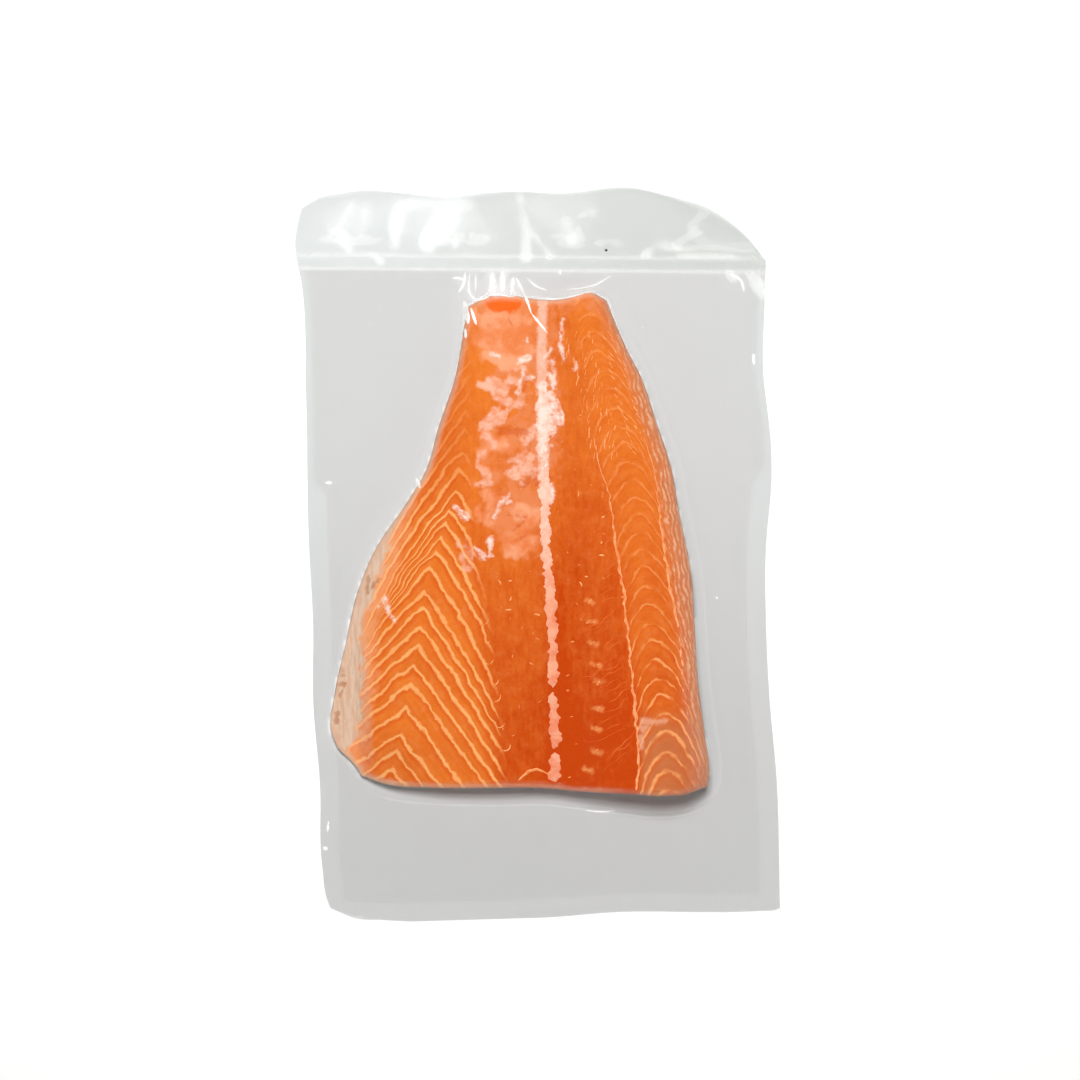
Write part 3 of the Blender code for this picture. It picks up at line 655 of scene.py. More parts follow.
def header_rise(x, y):
    """How far the unsealed mouth of the pouch has risen from what the pack lies on."""
    past_seal = y - (SEAL_Y + SEAL_TILT * x) - SEAL_WIDTH
    mouth = eased(past_seal / 26)
    waves = 0.62 + 0.38 * np.cos(2 * math.pi * (x + 28) / 54 + 0.6 * np.sin(x / 30))
    corner = eased((x - 45) / 45)
    return mouth * (HEADER_LIFT * waves + CORNER_LIFT * corner)


# Meshes


def piece(name, points, faces, material, fields=None, cad_slot="salmon_flesh", node="salmon_fillet"):
    """A finished piece from points in millimetres, with its fields as point attributes."""
    mesh = bpy.data.meshes.new(name)
    mesh.from_pydata((np.asarray(points) * MM).tolist(), [], faces)
    for field, values in (fields or {}).items():
        layer = mesh.attributes.new(field, "FLOAT", "POINT")
        layer.data.foreach_set("value", np.asarray(values, np.float32))
    mesh.materials.append(material)
    mesh.shade_smooth()
    if fields is None:
        mesh.set_sharp_from_angle(angle=SHARP_ANGLE)
    made = bpy.data.objects.new(name, mesh)
    bpy.context.scene.collection.objects.link(made)
    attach(made, "root")
    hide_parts(node)
    return made


def numbered(rows, columns):
    """The numbers of the points of a grid that is stored row by row."""
    return np.arange(rows * columns).reshape(rows, columns)


def quads(at, flip=False):
    """Quads between the neighbours in a table of point numbers."""
    corners = np.stack([at[:-1, :-1], at[:-1, 1:], at[1:, 1:], at[1:, :-1]], -1).reshape(-1, 4)
    return (corners[:, ::-1] if flip else corners).tolist()


def quads_round(at):
    """Quads between closed rings of point numbers, one ring in each row."""
    return quads(np.column_stack([at, at[:, 0]]))


def closer_at_ends(count):
    """Places from 0 to 1 that lie closer together at both ends."""
    t = np.linspace(0, 1, count)
    return t - 0.4 * np.sin(2 * math.pi * t) / (2 * math.pi)


def shoulder(height):
    """Where the flesh's side begins, under its rounded upper edge."""
    return SKIN_LEVEL + height - np.minimum(EDGE_ROUNDING, 0.5 * height)


def turned_under(loop, radius, inset, drop):
    """Rings that turn a solid's edge under it to a radius."""
    rings = []
    for turn in (30, 60, 90):
        angle = math.radians(turn)
        place = loop - (inset + radius * (1 - math.cos(angle)))[:, None] * outward(loop)
        rings.append(np.column_stack([place, SKIN_LEVEL - drop + radius * (1 - math.sin(angle))]))
    return rings


def make_flesh(material):
    u, v = np.meshgrid(closer_at_ends(FLESH_COLUMNS), closer_at_ends(FLESH_ROWS))
    flat = fillet_point(u.ravel(), v.ravel())
    surface, gap = flesh_surface(*flat.T)
    fields = flesh_fields(*flat.T)
    fields["edge"] = gap
    relief = flesh_relief(fields, *flat.T) * eased(gap / EDGE_ROUNDING)
    grid = numbered(FLESH_ROWS, FLESH_COLUMNS)
    rim = np.concatenate([grid[0, :-1], grid[:-1, -1], grid[-1, :0:-1], grid[:0:-1, 0]])
    edge, top = flat[rim], surface[rim]
    radius = np.minimum(SKIN_ROUNDING, 0.3 * flesh_height(*edge.T))
    rings = []
    for level in (0.2, 0.4, 0.6, 0.8, 1.0):
        bulge = 0.12 * math.sin(math.pi * level) * patchy(*edge.T, 5, 41 + round(level * 10))
        place = edge + (bulge - SKIN_INSET * level)[:, None] * outward(edge)
        rings.append(np.column_stack([place, top + (SKIN_LEVEL + radius - top) * level]))
    rings += turned_under(edge, radius, SKIN_INSET, 0)
    below = np.vstack([rim, len(flat) + numbered(len(rings), len(rim))])
    faces = quads(grid) + quads_round(below[::-1]) + [below[-1, ::-1].tolist()]
    at = np.concatenate([np.arange(len(flat)), np.tile(rim, len(rings))])
    spread = {field: values[at] for field, values in fields.items()}
    points = np.concatenate([np.column_stack([flat, surface + relief]), *rings])
    return piece("salmon_flesh", points, faces, material, spread)


def make_skin(material):
    """The skin under the fillet: a thin shell that comes some way up its long sides."""
    loop = loop_round(fillet_point, 1.6)
    x, y = loop.T
    away = outward(loop)
    height = flesh_height(x, y)
    along = eased((y - THICK_Y - 1) / 12) * eased((TAIL_Y - 1 - y) / 12)
    side = along * np.where(x < MIDLINE_X, 0.30, 0.55)
    lip = SKIN_LEVEL + 0.7 + side * (shoulder(height) - SKIN_LEVEL)
    radius = np.minimum(SKIN_ROUNDING, 0.3 * height)
    rings = [
        np.column_stack([loop - (radius + 1)[:, None] * away, np.full(len(loop), SKIN_LEVEL + 0.3)]),
        np.column_stack([loop - (SKIN_INSET + 0.4) * away, lip]),
    ]
    foot = SKIN_LEVEL + radius
    for level in (1, 0.5, 0):
        rings.append(np.column_stack([loop - 0.02 * away, foot + (lip - foot).clip(0) * level]))
    rings += turned_under(loop, radius, 0.02, 0.22)
    at = numbered(len(rings), len(loop))
    faces = [at[0].tolist()] + quads_round(at[::-1]) + [at[-1, ::-1].tolist()]
    return piece("salmon_skin", np.concatenate(rings), faces, material)


def ribbon(path, half_widths, rises, surface, lengthways=False):
    """A closed strip that lies along a path on a surface: its points, and its faces from 0."""
    path = np.asarray(path, float)
    along = np.gradient(path, axis=0)
    along = along / np.linalg.norm(along, axis=1)[:, None]
    if lengthways:
        along = np.tile((0.0, 1.0), (len(path), 1))
    side = np.stack([along[:, 1], -along[:, 0]], -1)
    rings = []
    for angle in np.linspace(0, math.pi, 7):
        at = path + (half_widths * math.cos(angle))[:, None] * side
        rings.append(np.column_stack([at, surface(at) + rises * math.sin(angle) ** 1.6]))
    rings.append(np.column_stack([path, surface(path) - RIBBON_ROOT]))
    at = numbered(len(path), len(rings))
    faces = quads_round(at) + [at[0].tolist(), at[-1, ::-1].tolist()]
    return np.stack(rings, 1).reshape(-1, 3), faces


def on_flesh(at):
    return flesh_surface(*at.T)[0]


def joined(parts):
    """Points and faces of several parts as one."""
    points, faces, first = [], [], 0
    for part_points, part_faces in parts:
        points.append(part_points)
        faces += [[first + k for k in face] for face in part_faces]
        first += len(part_points)
    return np.concatenate(points), faces


def tapered(count, ends=0.15):
    """1 along a strip, falling towards both its ends."""
    t = np.linspace(0, 1, count)
    return np.sqrt(np.clip(np.minimum(t, 1 - t) / ends, 0.04, 1))


def make_midline(material):
    parts = []
    for length in MIDLINE_STRIP:
        stations = np.array(length)
        y = np.arange(stations[0, 0], stations[-1, 0], 0.35)
        beaded = eased((48 - y) / 25)
        x = smooth(y, stations[:, :2]) + (0.12 + 0.45 * beaded) * patchy(y, y * 0 + 5, 1.3, 51)
        half = smooth(y, stations[:, [0, 2]]) * 0.98 + 0.45 * beaded * patchy(y, y * 0 + 9, 1.1, 52)
        half = np.maximum(half + 0.22 * patchy(y, y * 0 + 2, 0.7, 54), 0.3)
        rises = STRIP_RISE * (0.80 + 0.20 * patchy(y, y * 0, 2.0, 53)) * (0.35 + 0.65 * beaded)
        ends = tapered(len(y), min(0.2, 1.5 / (y[-1] - y[0])))
        parts.append(ribbon(np.column_stack([x, y]), half * ends, rises * ends, on_flesh, True))
    return piece("midline_strip", *joined(parts), material)


def make_seams(material):
    """The two long pale seams of the back."""
    parts = []
    seams = (INNER_SEAM, -97, 46, 0.60, 61), (OUTER_SEAM, -62, 47, 0.66, 62)
    for stations, low, high, width, seed in seams:
        y = np.arange(low, high, 0.45)
        x = smooth(y, stations) + 0.45 * patchy(y, y * 0, 2.2, seed)
        uneven = 0.75 + 0.80 * patchy(y, y * 0 + 3, 4.2, seed + 10) ** 2
        uneven = uneven + 0.40 * patchy(y, y * 0, 1.0, seed + 20)
        half = np.maximum(width * uneven * (0.30 + 0.70 * eased((high - y) / 60)), 0.12)
        parts.append(ribbon(np.column_stack([x, y]), half, 0.16 * tapered(len(y)), on_flesh, True))
    return piece("back_seams", *joined(parts), material)


def strand(start, heading, length, bend, width, count=9, sway=0, rise=0.14, ends=0.35):
    """A curved, tapered thread of fat that lies on the flesh."""
    t = np.linspace(0, 1, count)
    angle = math.radians(heading) + bend * t + sway * patchy(t * length, t * 0 + start[1], 2.6, 75)
    steps = length / (count - 1) * np.stack([np.cos(angle), np.sin(angle)], -1)
    path = np.asarray(start) + np.concatenate([[[0, 0]], np.cumsum(steps[1:], axis=0)])
    taper = tapered(count, ends)
    return ribbon(path, width * taper, rise * taper, on_flesh)


def make_flecks(material):
    """Flecks of fat: a row beside the inner seam, loose ones, and the hooked feet of the belly bands."""
    draw = np.random.default_rng(71)
    parts = []

    def fleck(*measures):
        """Adds a strand from its x, y, heading, length, bend and width. A pair is a range to draw from."""
        x, y, *others = [draw.uniform(*each) if isinstance(each, tuple) else each for each in measures]
        parts.append(strand((x, y), *others))

    for x, y in ROW_FLECKS:
        for heading in (25, 205):
            turned = (heading - 30, heading + 30)
            fleck((x - 0.6, x + 0.6), (y - 0.5, y + 0.5), turned, (0.8, 1.6), 0.5, (0.20, 0.32))
    for x, y in LOOSE_FLECKS:
        fleck(x, y, (-40, 60), (1.2, 2.8), (-1, 1), (0.28, 0.42))
    for x, y in BAND_FEET:
        fleck(x - 2.4, y + 1.6, (-60, -40), (4.5, 6.0), 2.4, (0.26, 0.36))
    for _ in range(SPECKS):
        x, y = draw.uniform(-17, 33), draw.uniform(-92, 70)
        if abs(x - MIDLINE_X) > 4:
            fleck(x, y, (0, 360), (0.6, 1.8), (-1.5, 1.5), (0.10, 0.20))
    for y in np.arange(40, 92, 2.6):
        for offset in (-11, -6, -2, 3, 7):
            x = smooth(y, BACK_RIDGE) + offset
            heading = 252 if offset < 0 else 296
            fleck((x - 1.5, x + 1.5), y, (heading - 12, heading + 12), (1.6, 5), 0.3, (0.10, 0.30))
    taper = tapered(len(LOWEST_STRAND), 0.4)
    parts.append(ribbon(LOWEST_STRAND, 0.62 * taper, 0.3 * taper, on_flesh))
    return piece("fat_flecks", *joined(parts), material)


def make_threads(material):
    """Faint threads that leave the back's inner seam towards the midline."""
    draw = np.random.default_rng(73)
    parts = []
    for y in np.arange(-96, 46, 3.4):
        reach = draw.uniform(6, 19) if y < -8 else draw.uniform(2, 5)
        away = draw.uniform(0.2, 6.0)
        start = (smooth(y, INNER_SEAM) - away, y - 0.7 * away)
        heading, bend, width = draw.uniform(206, 224), draw.uniform(-0.35, 0.15), draw.uniform(0.09, 0.22)
        if y - 0.8 * (away + reach) > LOWEST_THREAD:
            parts.append(strand(start, heading, reach, bend, width, 26, 0.55, 0.10, 0.45))
    return piece("fat_threads", *joined(parts), material)


def spaced(runs):
    """Places in runs of (from, to, about how far apart)."""
    places = [np.linspace(low, high, round((high - low) / step), endpoint=False) for low, high, step in runs]
    return np.concatenate(places + [[runs[-1][1]]])


def film_height(x, y):
    """Height of the upper film, the least height that clears the flesh, and where it covers the fillet."""
    points = np.column_stack([x, y])
    covers = inside(points, FILLET_LOOP)
    gap, foot = distance(points, FILLET_LOOP)
    side = shoulder(flesh_height(*foot.T))
    reach = TENT_REACH + TENT_REACH_PER_HEIGHT * side
    tent = side * np.clip(1 - np.maximum(gap - 0.6, 0) / reach, 0, 1) ** TENT_CURVE
    from_edge = np.maximum(np.minimum(from_side(x, y), from_end(x, y)), 0)
    margin = 0.15 + 0.35 * eased(from_edge / 14) + header_rise(x, y)
    margin = margin + 0.25 * np.abs(patchy(x, y, 19, 81)) + 0.06 * patchy(x, y, 6, 82)
    surface, _ = flesh_surface(x, y)
    relief = flesh_relief(flesh_fields(x, y), x, y)
    strip = STRIP_RISE * eased(1.6 - np.abs(x - MIDLINE_X - 0.5) / 2.2)
    over = surface + np.maximum(relief, 0) * eased(gap / EDGE_ROUNDING) + strip + FILM_CLEARANCE
    return np.where(covers, over, np.maximum(tent, margin)), np.where(covers, over, 0.3), covers


def settled(height, least, passes):
    """A film's heights pulled smooth, where what lies under it allows."""
    for _ in range(passes):
        middle = height[1:-1, 1:-1]
        around = (height[:-2, 1:-1] + height[2:, 1:-1] + height[1:-1, :-2] + height[1:-1, 2:]) / 4
        height[1:-1, 1:-1] = np.maximum(0.4 * middle + 0.6 * around, least[1:-1, 1:-1])
    return height


def from_side(x, y):
    """How far each point is in from the pouch's long sides."""
    left, right = pouch_sides(y)
    return np.minimum(x - left, right - x)


def from_end(x, y):
    """How far each point is in from the pouch's closed end."""
    return y + POUCH_LENGTH / 2 - set_back(2 * x / POUCH_WIDTH, BOTTOM_DIPS)


def film_fields(x, y, covers, past_seal):
    """What the film's shading is made from at each point."""
    seal = eased((side_seal_width(y) - from_side(x, y)) / 1.4)
    seal = np.maximum(seal, eased((8.5 - from_end(x, y)) / 1.4)) * eased(-past_seal / 2)
    weld = np.exp(-((past_seal / 0.6) ** 2)) + 0.8 * np.exp(-(((past_seal - SEAL_WIDTH) / 0.6) ** 2))
    return {
        "cover": covers * 1.0,
        "header": eased((past_seal + 1) / 3),
        "seal": seal,
        "weld": weld,
        "sheen": strokes(x, y, HEADER_SHEEN),
        "soft_sheen": strokes(x, y, SOFT_SHEEN),
        "beside": distance(np.column_stack([x, y]), FILLET_LOOP)[0],
        "speck": np.hypot(x - HEADER_SPECK[0], y - HEADER_SPECK[1]),
    }


def side_seal_width(y):
    """The side seals are pressed flat, and so look wider, below the widest part of the fillet."""
    return 3.5 + 5.0 * eased((32 - y) / 6)


def make_film(material):
    """The pouch: two films that meet along three sides, with an open mouth beyond the seal."""
    u = spaced(FILM_X_RUNS) / POUCH_WIDTH + 0.5
    v = spaced(FILM_Y_RUNS) / POUCH_LENGTH + 0.5
    shape = (len(v), len(u))
    u, v = np.meshgrid(u, v)
    flat = pouch_point(u.ravel(), v.ravel())
    x, y = flat.T
    height, least, covers = film_height(x, y)
    height = settled(height.reshape(shape), least.reshape(shape), 3).ravel()
    past_seal = y - (SEAL_Y + SEAL_TILT * x)
    fields = film_fields(x, y, covers, past_seal)
    loose = eased((past_seal - SEAL_WIDTH) / 10)
    crumple = 0.7 * patchy(x, y, 9, 83) + 0.4 * patchy(x * 2, y, 8, 84)
    upper = height + 0.35 * fields["weld"] + loose * (1.2 + crumple)
    edge = np.zeros(shape, bool)
    edge[0, :] = edge[:, 0] = edge[:, -1] = True
    edge = edge.ravel()
    lower = header_rise(x, y) + 0.05
    upper = np.where(edge, lower + 0.10, np.maximum(upper, lower + 0.2))
    kept = ~edge
    below = np.arange(len(flat))
    below[kept] = len(flat) + np.arange(kept.sum())
    grid = numbered(*shape)
    faces = quads(grid)
    faces += below[np.array(quads(grid, flip=True))].tolist()
    points = np.concatenate([np.column_stack([flat, upper]), np.column_stack([flat, lower])[kept]])
    fields = {name: np.concatenate([values, values[kept]]) for name, values in fields.items()}
    film = piece("pouch_film", points, faces, material, fields, "clear_film", "vacuum_pouch")
    sharpen_fold(film.data, np.flatnonzero(edge))
    return BVHTree.FromPolygons(points.tolist(), faces)


def sharpen_fold(mesh, folded):
    """The two films meet at a sharp edge, so that neither is shaded as if it curved there."""
    ends = np.zeros(len(mesh.edges) * 2, int)
    mesh.edges.foreach_get("vertices", ends)
    sharp = np.isin(ends, folded).reshape(-1, 2).all(1)
    mesh.attributes.new("sharp_edge", "BOOLEAN", "EDGE").data.foreach_set("value", sharp)


def make_pleats(film, material):
    """Pinched pleats of film, most of them between the tail and the seal."""

    def on_film(at):
        down = Vector((0, 0, -1))
        return np.array([film.ray_cast(Vector((x, y, 60)), down)[0].z for x, y in at])

    parts = []
    for half_width, rise, *places in PLEATS:
        corners = np.reshape(places, (-1, 2))
        length = run_along(corners)
        count = max(6, round(length[-1] / 0.5))
        at = np.linspace(0, length[-1], count)
        path = np.column_stack([smooth(at, np.column_stack([length, corners[:, k]])) for k in range(2)])
        uneven = 0.85 + 0.3 * patchy(*path.T, 1.5, 91)
        ends = tapered(count, 0.35)
        parts.append(ribbon(path, 1.25 * half_width * uneven * ends, rise * 0.7 * ends, on_film))
    return piece("film_pleats", *joined(parts), material, None, "clear_film", "vacuum_pouch")


# Materials


def screen(red, green, blue):
    """The linear colour of a screen colour from 0 to 255."""
    part = np.array((red, green, blue)) / 255
    linear = np.where(part <= 0.04045, part / 12.92, ((part + 0.055) / 1.055) ** 2.4)
    return (*linear.tolist(), 1.0)


class Value:
    """What a node gives out, for use in plain sums."""

    def __init__(self, nodes, socket):
        self.nodes = nodes
        self.socket = socket

    def __add__(self, other):
        return self.nodes.math("ADD", self, other)

    def __sub__(self, other):
        return self.nodes.math("SUBTRACT", self, other)

    def __rsub__(self, other):
        return self.nodes.math("SUBTRACT", other, self)

    def __mul__(self, other):
        return self.nodes.math("MULTIPLY", self, other)

    def ease(self, low, high):
        """0 where the value is at low or past it, 1 at high, and smooth between."""
        inputs = {"Value": self, "From Min": low, "From Max": high}
        return self.nodes.add("MapRange", inputs, interpolation_type="SMOOTHSTEP")

    def shake(self, amount):
        """Noise from 0 to 1 as an offset from minus to plus half an amount."""
        return (self - 0.5) * amount


class Nodes:
    """A new material and short calls for the nodes in it."""

    def __init__(self, name):
        self.material = bpy.data.materials.new(name)
        self.material.use_nodes = True
        self.tree = self.material.node_tree
        self.tree.nodes.clear()
        self.place = self.add("TexCoord", output="Object")

    def add(self, kind, inputs=(), output=0, **settings):
        """One output of a new node, whose inputs are numbers, colours or other outputs."""
        node = self.tree.nodes.new("ShaderNode" + kind)
        for name, value in settings.items():
            setattr(node, name, value)
        for socket, value in dict(inputs).items():
            if isinstance(value, Value):
                self.tree.links.new(value.socket, node.inputs[socket])
            else:
                node.inputs[socket].default_value = value
        return Value(self, node.outputs[output])

    def field(self, name):
        return self.add("Attribute", output="Fac", attribute_name=name)

    def axis(self, number):
        return self.add("SeparateXYZ", {0: self.place}, number)

    def math(self, operation, *values):
        return self.add("Math", enumerate(values), operation=operation)

    def mix(self, share, first, second):
        return self.add("Mix", {0: share, 2: first, 3: second})

    def blend(self, share, first, second):
        """A colour between two others."""
        return self.add("Mix", {0: share, 6: first, 7: second}, 2, data_type="RGBA")

    def noise(self, size, detail=2.0, roughness=0.5):
        """Noise from 0 to 1 with features of about a size in millimetres."""
        inputs = {"Vector": self.place, "Scale": 1 / (size * MM), "Detail": detail, "Roughness": roughness}
        return self.add("TexNoise", inputs)

    def stretched(self, first, second):
        """Noise from 0 to 1 over two coordinates."""
        place = self.add("CombineXYZ", {0: first, 1: second})
        return self.add("TexNoise", {"Vector": place, "Scale": 1.0, "Detail": 3.0, "Roughness": 0.6})

    def stretched_along(self, across, along):
        """Noise with features of about two sizes in millimetres: across the fillet and along it."""
        return self.stretched(self.axis(0) * (1 / (across * MM)), self.axis(1) * (1 / (along * MM)))

    def bump(self, height, depth):
        return self.add("Bump", {"Height": height, "Strength": 1.0, "Distance": depth * MM})

    def solid(self, colour, roughness, more):
        """The finished material of an opaque surface."""
        return self.finish(self.add("BsdfPrincipled", {"Base Color": colour, "Roughness": roughness, **more}))

    def finish(self, shader):
        output = self.tree.nodes.new("ShaderNodeOutputMaterial")
        self.tree.links.new(shader.socket, output.inputs["Surface"])
        return self.material


FLESH_DARK = screen(192, 66, 10)
FLESH_LIGHT = screen(224, 120, 44)
BAND_LINE = screen(243, 176, 110)
# Painted shade beside the pale lines between muscle bands
GROOVE_SHADE = screen(204, 80, 20)
BACK_LINE = screen(240, 162, 100)
THREAD = screen(226, 114, 52)
VEIL = screen(224, 134, 88)
MEMBRANE = screen(240, 168, 130)
DEEP_MEMBRANE = screen(230, 132, 82)
PALE_MEMBRANE = screen(240, 184, 160)
SHRED = screen(248, 222, 210)
BARE = screen(232, 98, 22)
# Painted shade in the creases
CREASE_SHADE = screen(200, 84, 32)
PALE_FLAP_COLOUR = screen(212, 188, 168)
FLAP_STREAK = screen(204, 168, 142)
FLAP_WASH = screen(242, 182, 138)
BRUISE = screen(170, 108, 62)
RIM = screen(202, 112, 58)
RIM_STRIPE = screen(230, 174, 136)
# Painted highlight where the film turns over the flesh's edge
EDGE_HIGHLIGHT = screen(226, 180, 150)
DULL = screen(190, 116, 74)
DULL_PATCH = screen(226, 162, 130)
SMUDGE = screen(238, 156, 92)
STRIP_PALE = screen(242, 200, 180)
STRIP_MIDDLE = screen(236, 166, 134)
STRIP_PINK = screen(230, 136, 102)
SEAM_PALE = screen(239, 163, 112)
SEAM_DEEP = screen(228, 132, 78)
FLECK_PALE = screen(240, 172, 116)
FLECK_DEEP = screen(228, 130, 70)
THREAD_DEEP = screen(216, 94, 34)
SILVER = screen(198, 202, 204)
SILVER_EDGE = screen(150, 156, 160)
SLATE = screen(88, 98, 104)
SLATE_EDGE = screen(52, 60, 66)
FILM_TINT = screen(240, 240, 240)
SEAL_TINT = screen(240, 241, 241)
# Painted shade: the film's tint at the bottom, where the key light falls off
LOW_SHADE_TINT = screen(237, 237, 237)
HEADER_TINT = screen(243, 244, 244)
HEADER_TINT_RIGHT = screen(239, 240, 239)
COVER_TINT = screen(255, 255, 254)
# White of the film's haze and of its painted sheen
HAZE_AND_SHEEN_WHITE = screen(252, 252, 251)
SPECK = screen(150, 148, 142)
FLOOR_PALE = screen(252, 252, 251)
FLOOR_PALER = screen(253, 253, 252)
THINNEST_BAND = 4.6
STRIPE_GAP = 1.9
SCALE_SIZE = 4.4


def lines(n, side, half, soft, jitter):
    """The thin pale line between two muscle bands of one side, and painted shade along one side of it."""
    shaken = n.field(side + "_number") + (jitter.shake(0.30) + n.noise(1.3).shake(0.12))
    off = shaken - n.math("ROUND", shaken)
    gap = off * n.math("MAXIMUM", n.field(side + "_width"), THINNEST_BAND) * (1.0 - n.field("dull") * 0.35)
    uneven = gap * (n.noise(5.0) * 1.7 + 0.15)
    line = n.math("ABSOLUTE", uneven).ease(half + soft, half - soft)
    # Painted shade: a darker strip along one side of each pale line
    groove_shade = gap.ease(-0.35 * half, -1.5 * half) * gap.ease(-5.0 * half, -2.0 * half)
    shows = n.field(side + "_shows")
    return line * shows, groove_shade * shows


def patch(n, colour, field, ragged, edge, paint, strength):
    """Paints a patch with a ragged, slightly soft edge over a colour."""
    return n.blend((n.field(field) + ragged).ease(edge, -edge) * strength, colour, paint)


def grain(n):
    """Fibres that run along the muscle bands on both sides, and along the fillet between them."""
    belly = n.stretched(n.field("belly_number") * 3.4, n.axis(0) * (1 / (13 * MM)))
    back = n.stretched(n.field("back_number") * 3.0, n.axis(0) * (1 / (11 * MM)))
    return n.mix(n.field("back_side"), n.mix(n.field("belly_side"), n.stretched_along(2.0, 7), belly), back)


def flesh_material():
    n = Nodes("salmon_flesh")
    fine, medium, broad = n.noise(0.8, 3), n.noise(3.6, 4, 0.6), n.noise(12, 3)
    streaks, ragged = n.noise(2.8, 3, 0.6), n.noise(1.5, 3, 0.6)
    fibres = grain(n)
    tone = n.field("tone") + medium.shake(0.36) + fine.shake(0.30) + fibres.shake(0.75) + broad.shake(0.40)
    colour = n.blend(tone, FLESH_DARK, FLESH_LIGHT)
    colour = n.blend(medium.ease(0.48, 0.72) * (n.field("tone") * 0.20 + 0.06), colour, VEIL)
    torn = (broad * 0.65 + streaks * 0.35).ease(0.40, 0.58)
    veiled = (n.field("veil") + streaks.shake(1.6)).ease(0.20, 0.95)
    colour = n.blend(veiled * (torn * 0.62 + 0.15), colour, VEIL)
    line, groove_shade = lines(n, "belly", 0.58, 0.38, n.noise(3.0))
    # Painted shade beside the belly's lines
    colour = n.blend(groove_shade * 0.55, colour, GROOVE_SHADE)
    colour = n.blend(line * (fibres * 0.8 + 0.40), colour, BAND_LINE)
    rim = (n.field("rim") + medium.shake(6.0)).ease(-1.0, 4.0)
    colour = n.blend(rim * 0.75, colour, RIM)
    stripes = n.math("SINE", (n.field("rim") + n.noise(7.0, 3).shake(5.0)) * (2 * math.pi / STRIPE_GAP))
    striped = stripes.ease(-0.5, 0.8) * (medium.ease(0.36, 0.60) * 0.80 + 0.05)
    colour = n.blend(rim * striped, colour, RIM_STRIPE)
    colour = n.blend(n.field("dull") * (medium * 0.40 + 0.45), colour, DULL)
    line, groove_shade = lines(n, "back", 0.40, 0.32, n.noise(3.4))
    # Painted shade beside the back's lines
    colour = n.blend(groove_shade * 0.35, colour, GROOVE_SHADE)
    colour = n.blend(line * (n.noise(8.0).ease(0.36, 0.56) * 0.80 + 0.10), colour, BACK_LINE)
    wide = n.noise(5.5).shake(7.0) + (medium.shake(2.5) + ragged.shake(1.6))
    narrow, close = streaks.shake(4.0), streaks.shake(3.2) + ragged.shake(2.6)
    mottled = n.blend((broad * 0.7 + medium * 0.3).ease(0.38, 0.60), DEEP_MEMBRANE, MEMBRANE)
    for field, edging, edge, paint, strength in (
        ("membrane", wide, 1.6, mottled, broad * 0.55 + 0.40),
        ("pale", wide, 1.2, PALE_MEMBRANE, (broad * 0.4 + streaks * 0.6).ease(0.36, 0.60) * 0.60 + 0.30),
        ("upper_strip", close, 0.9, STRIP_PALE, streaks * 0.80 + 0.25),
        ("dull_patch", narrow, 0.9, DULL_PATCH, 0.7),
        ("smudge", narrow, 1.0, SMUDGE, 0.55),
        ("hollow", narrow, 0.8, BARE, 0.9),
        # painted shade darkens the creases
        ("crease", narrow, 0.6, CREASE_SHADE, 0.5),
        ("shred", close, 0.70, SHRED, streaks.ease(0.30, 0.62) * 0.65 + 0.25),
    ):
        colour = patch(n, colour, field, edging, edge, paint, strength)
    flap = n.field("flap") + wide
    colour = n.blend(flap.ease(-8.0, 0.0) * 0.42, colour, FLAP_WASH)
    pale = n.blend(n.stretched_along(1.6, 10).ease(0.40, 0.62), PALE_FLAP_COLOUR, FLAP_STREAK)
    colour = n.blend(flap.ease(-0.6, 1.8) * 0.92, colour, pale)
    colour = patch(n, colour, "bruise", narrow, 0.5, BRUISE, 0.65)
    # Painted highlight along the flesh's outer edge, where the film turns over it
    edge = (n.field("edge") + medium.shake(2.5)).ease(3.2, 0.4)
    colour = n.blend(edge * n.field("edge_highlight"), colour, EDGE_HIGHLIGHT)
    normal = n.bump(fine + (streaks + fibres), 0.16)
    return n.solid(colour, 0.38, {"IOR": 1.38, "Specular IOR Level": 0.35, "Normal": normal})


def soft_tissue(n, colour):
    return n.solid(colour, 0.55, {"Specular IOR Level": 0.15, "Normal": n.bump(n.noise(0.9), 0.10)})


def fat_material(name, pale, deep, size):
    """Soft pale tissue, mottled between two colours."""
    n = Nodes(name)
    return soft_tissue(n, n.blend(n.noise(size, 3).ease(0.35, 0.65), deep, pale))


def strip_material():
    """The midline's tissue: pinkish towards the thick end, and nearly white towards the tail."""
    n = Nodes("midline_tissue")
    mottle = (n.noise(5.0) + n.noise(1.2, 3).shake(0.5)).ease(0.30, 0.70)
    to_tail = n.axis(1).ease(-30 * MM, 22 * MM) * (mottle * 0.4 + 0.6)
    return soft_tissue(n, n.blend(to_tail, n.blend(mottle, STRIP_PINK, STRIP_MIDDLE), STRIP_PALE))


def skin_material():
    """Scaled silver skin that is darker towards the back."""
    n = Nodes("salmon_skin")
    x, y, z = (n.axis(k) for k in range(3))
    up = x + z
    turned = n.add("CombineXYZ", {0: up + y, 1: up - y})
    inputs = {"Vector": turned, "Scale": 1 / (SCALE_SIZE * MM), "Randomness": 0.25}
    edge = n.add("TexVoronoi", inputs, "Distance").ease(0.34, 0.66)
    worn = edge * (n.noise(9.0, 3) * 0.8 + 0.35)
    back = (x + n.noise(14.0, 3).shake(14 * MM)).ease(16 * MM, 56 * MM)
    silver = n.blend(worn, SILVER, SILVER_EDGE)
    slate = n.blend(worn, SLATE, SLATE_EDGE)
    return n.solid(n.blend(back, silver, slate), 0.34, {"Metallic": 0.35, "Normal": n.bump(edge, 0.12)})


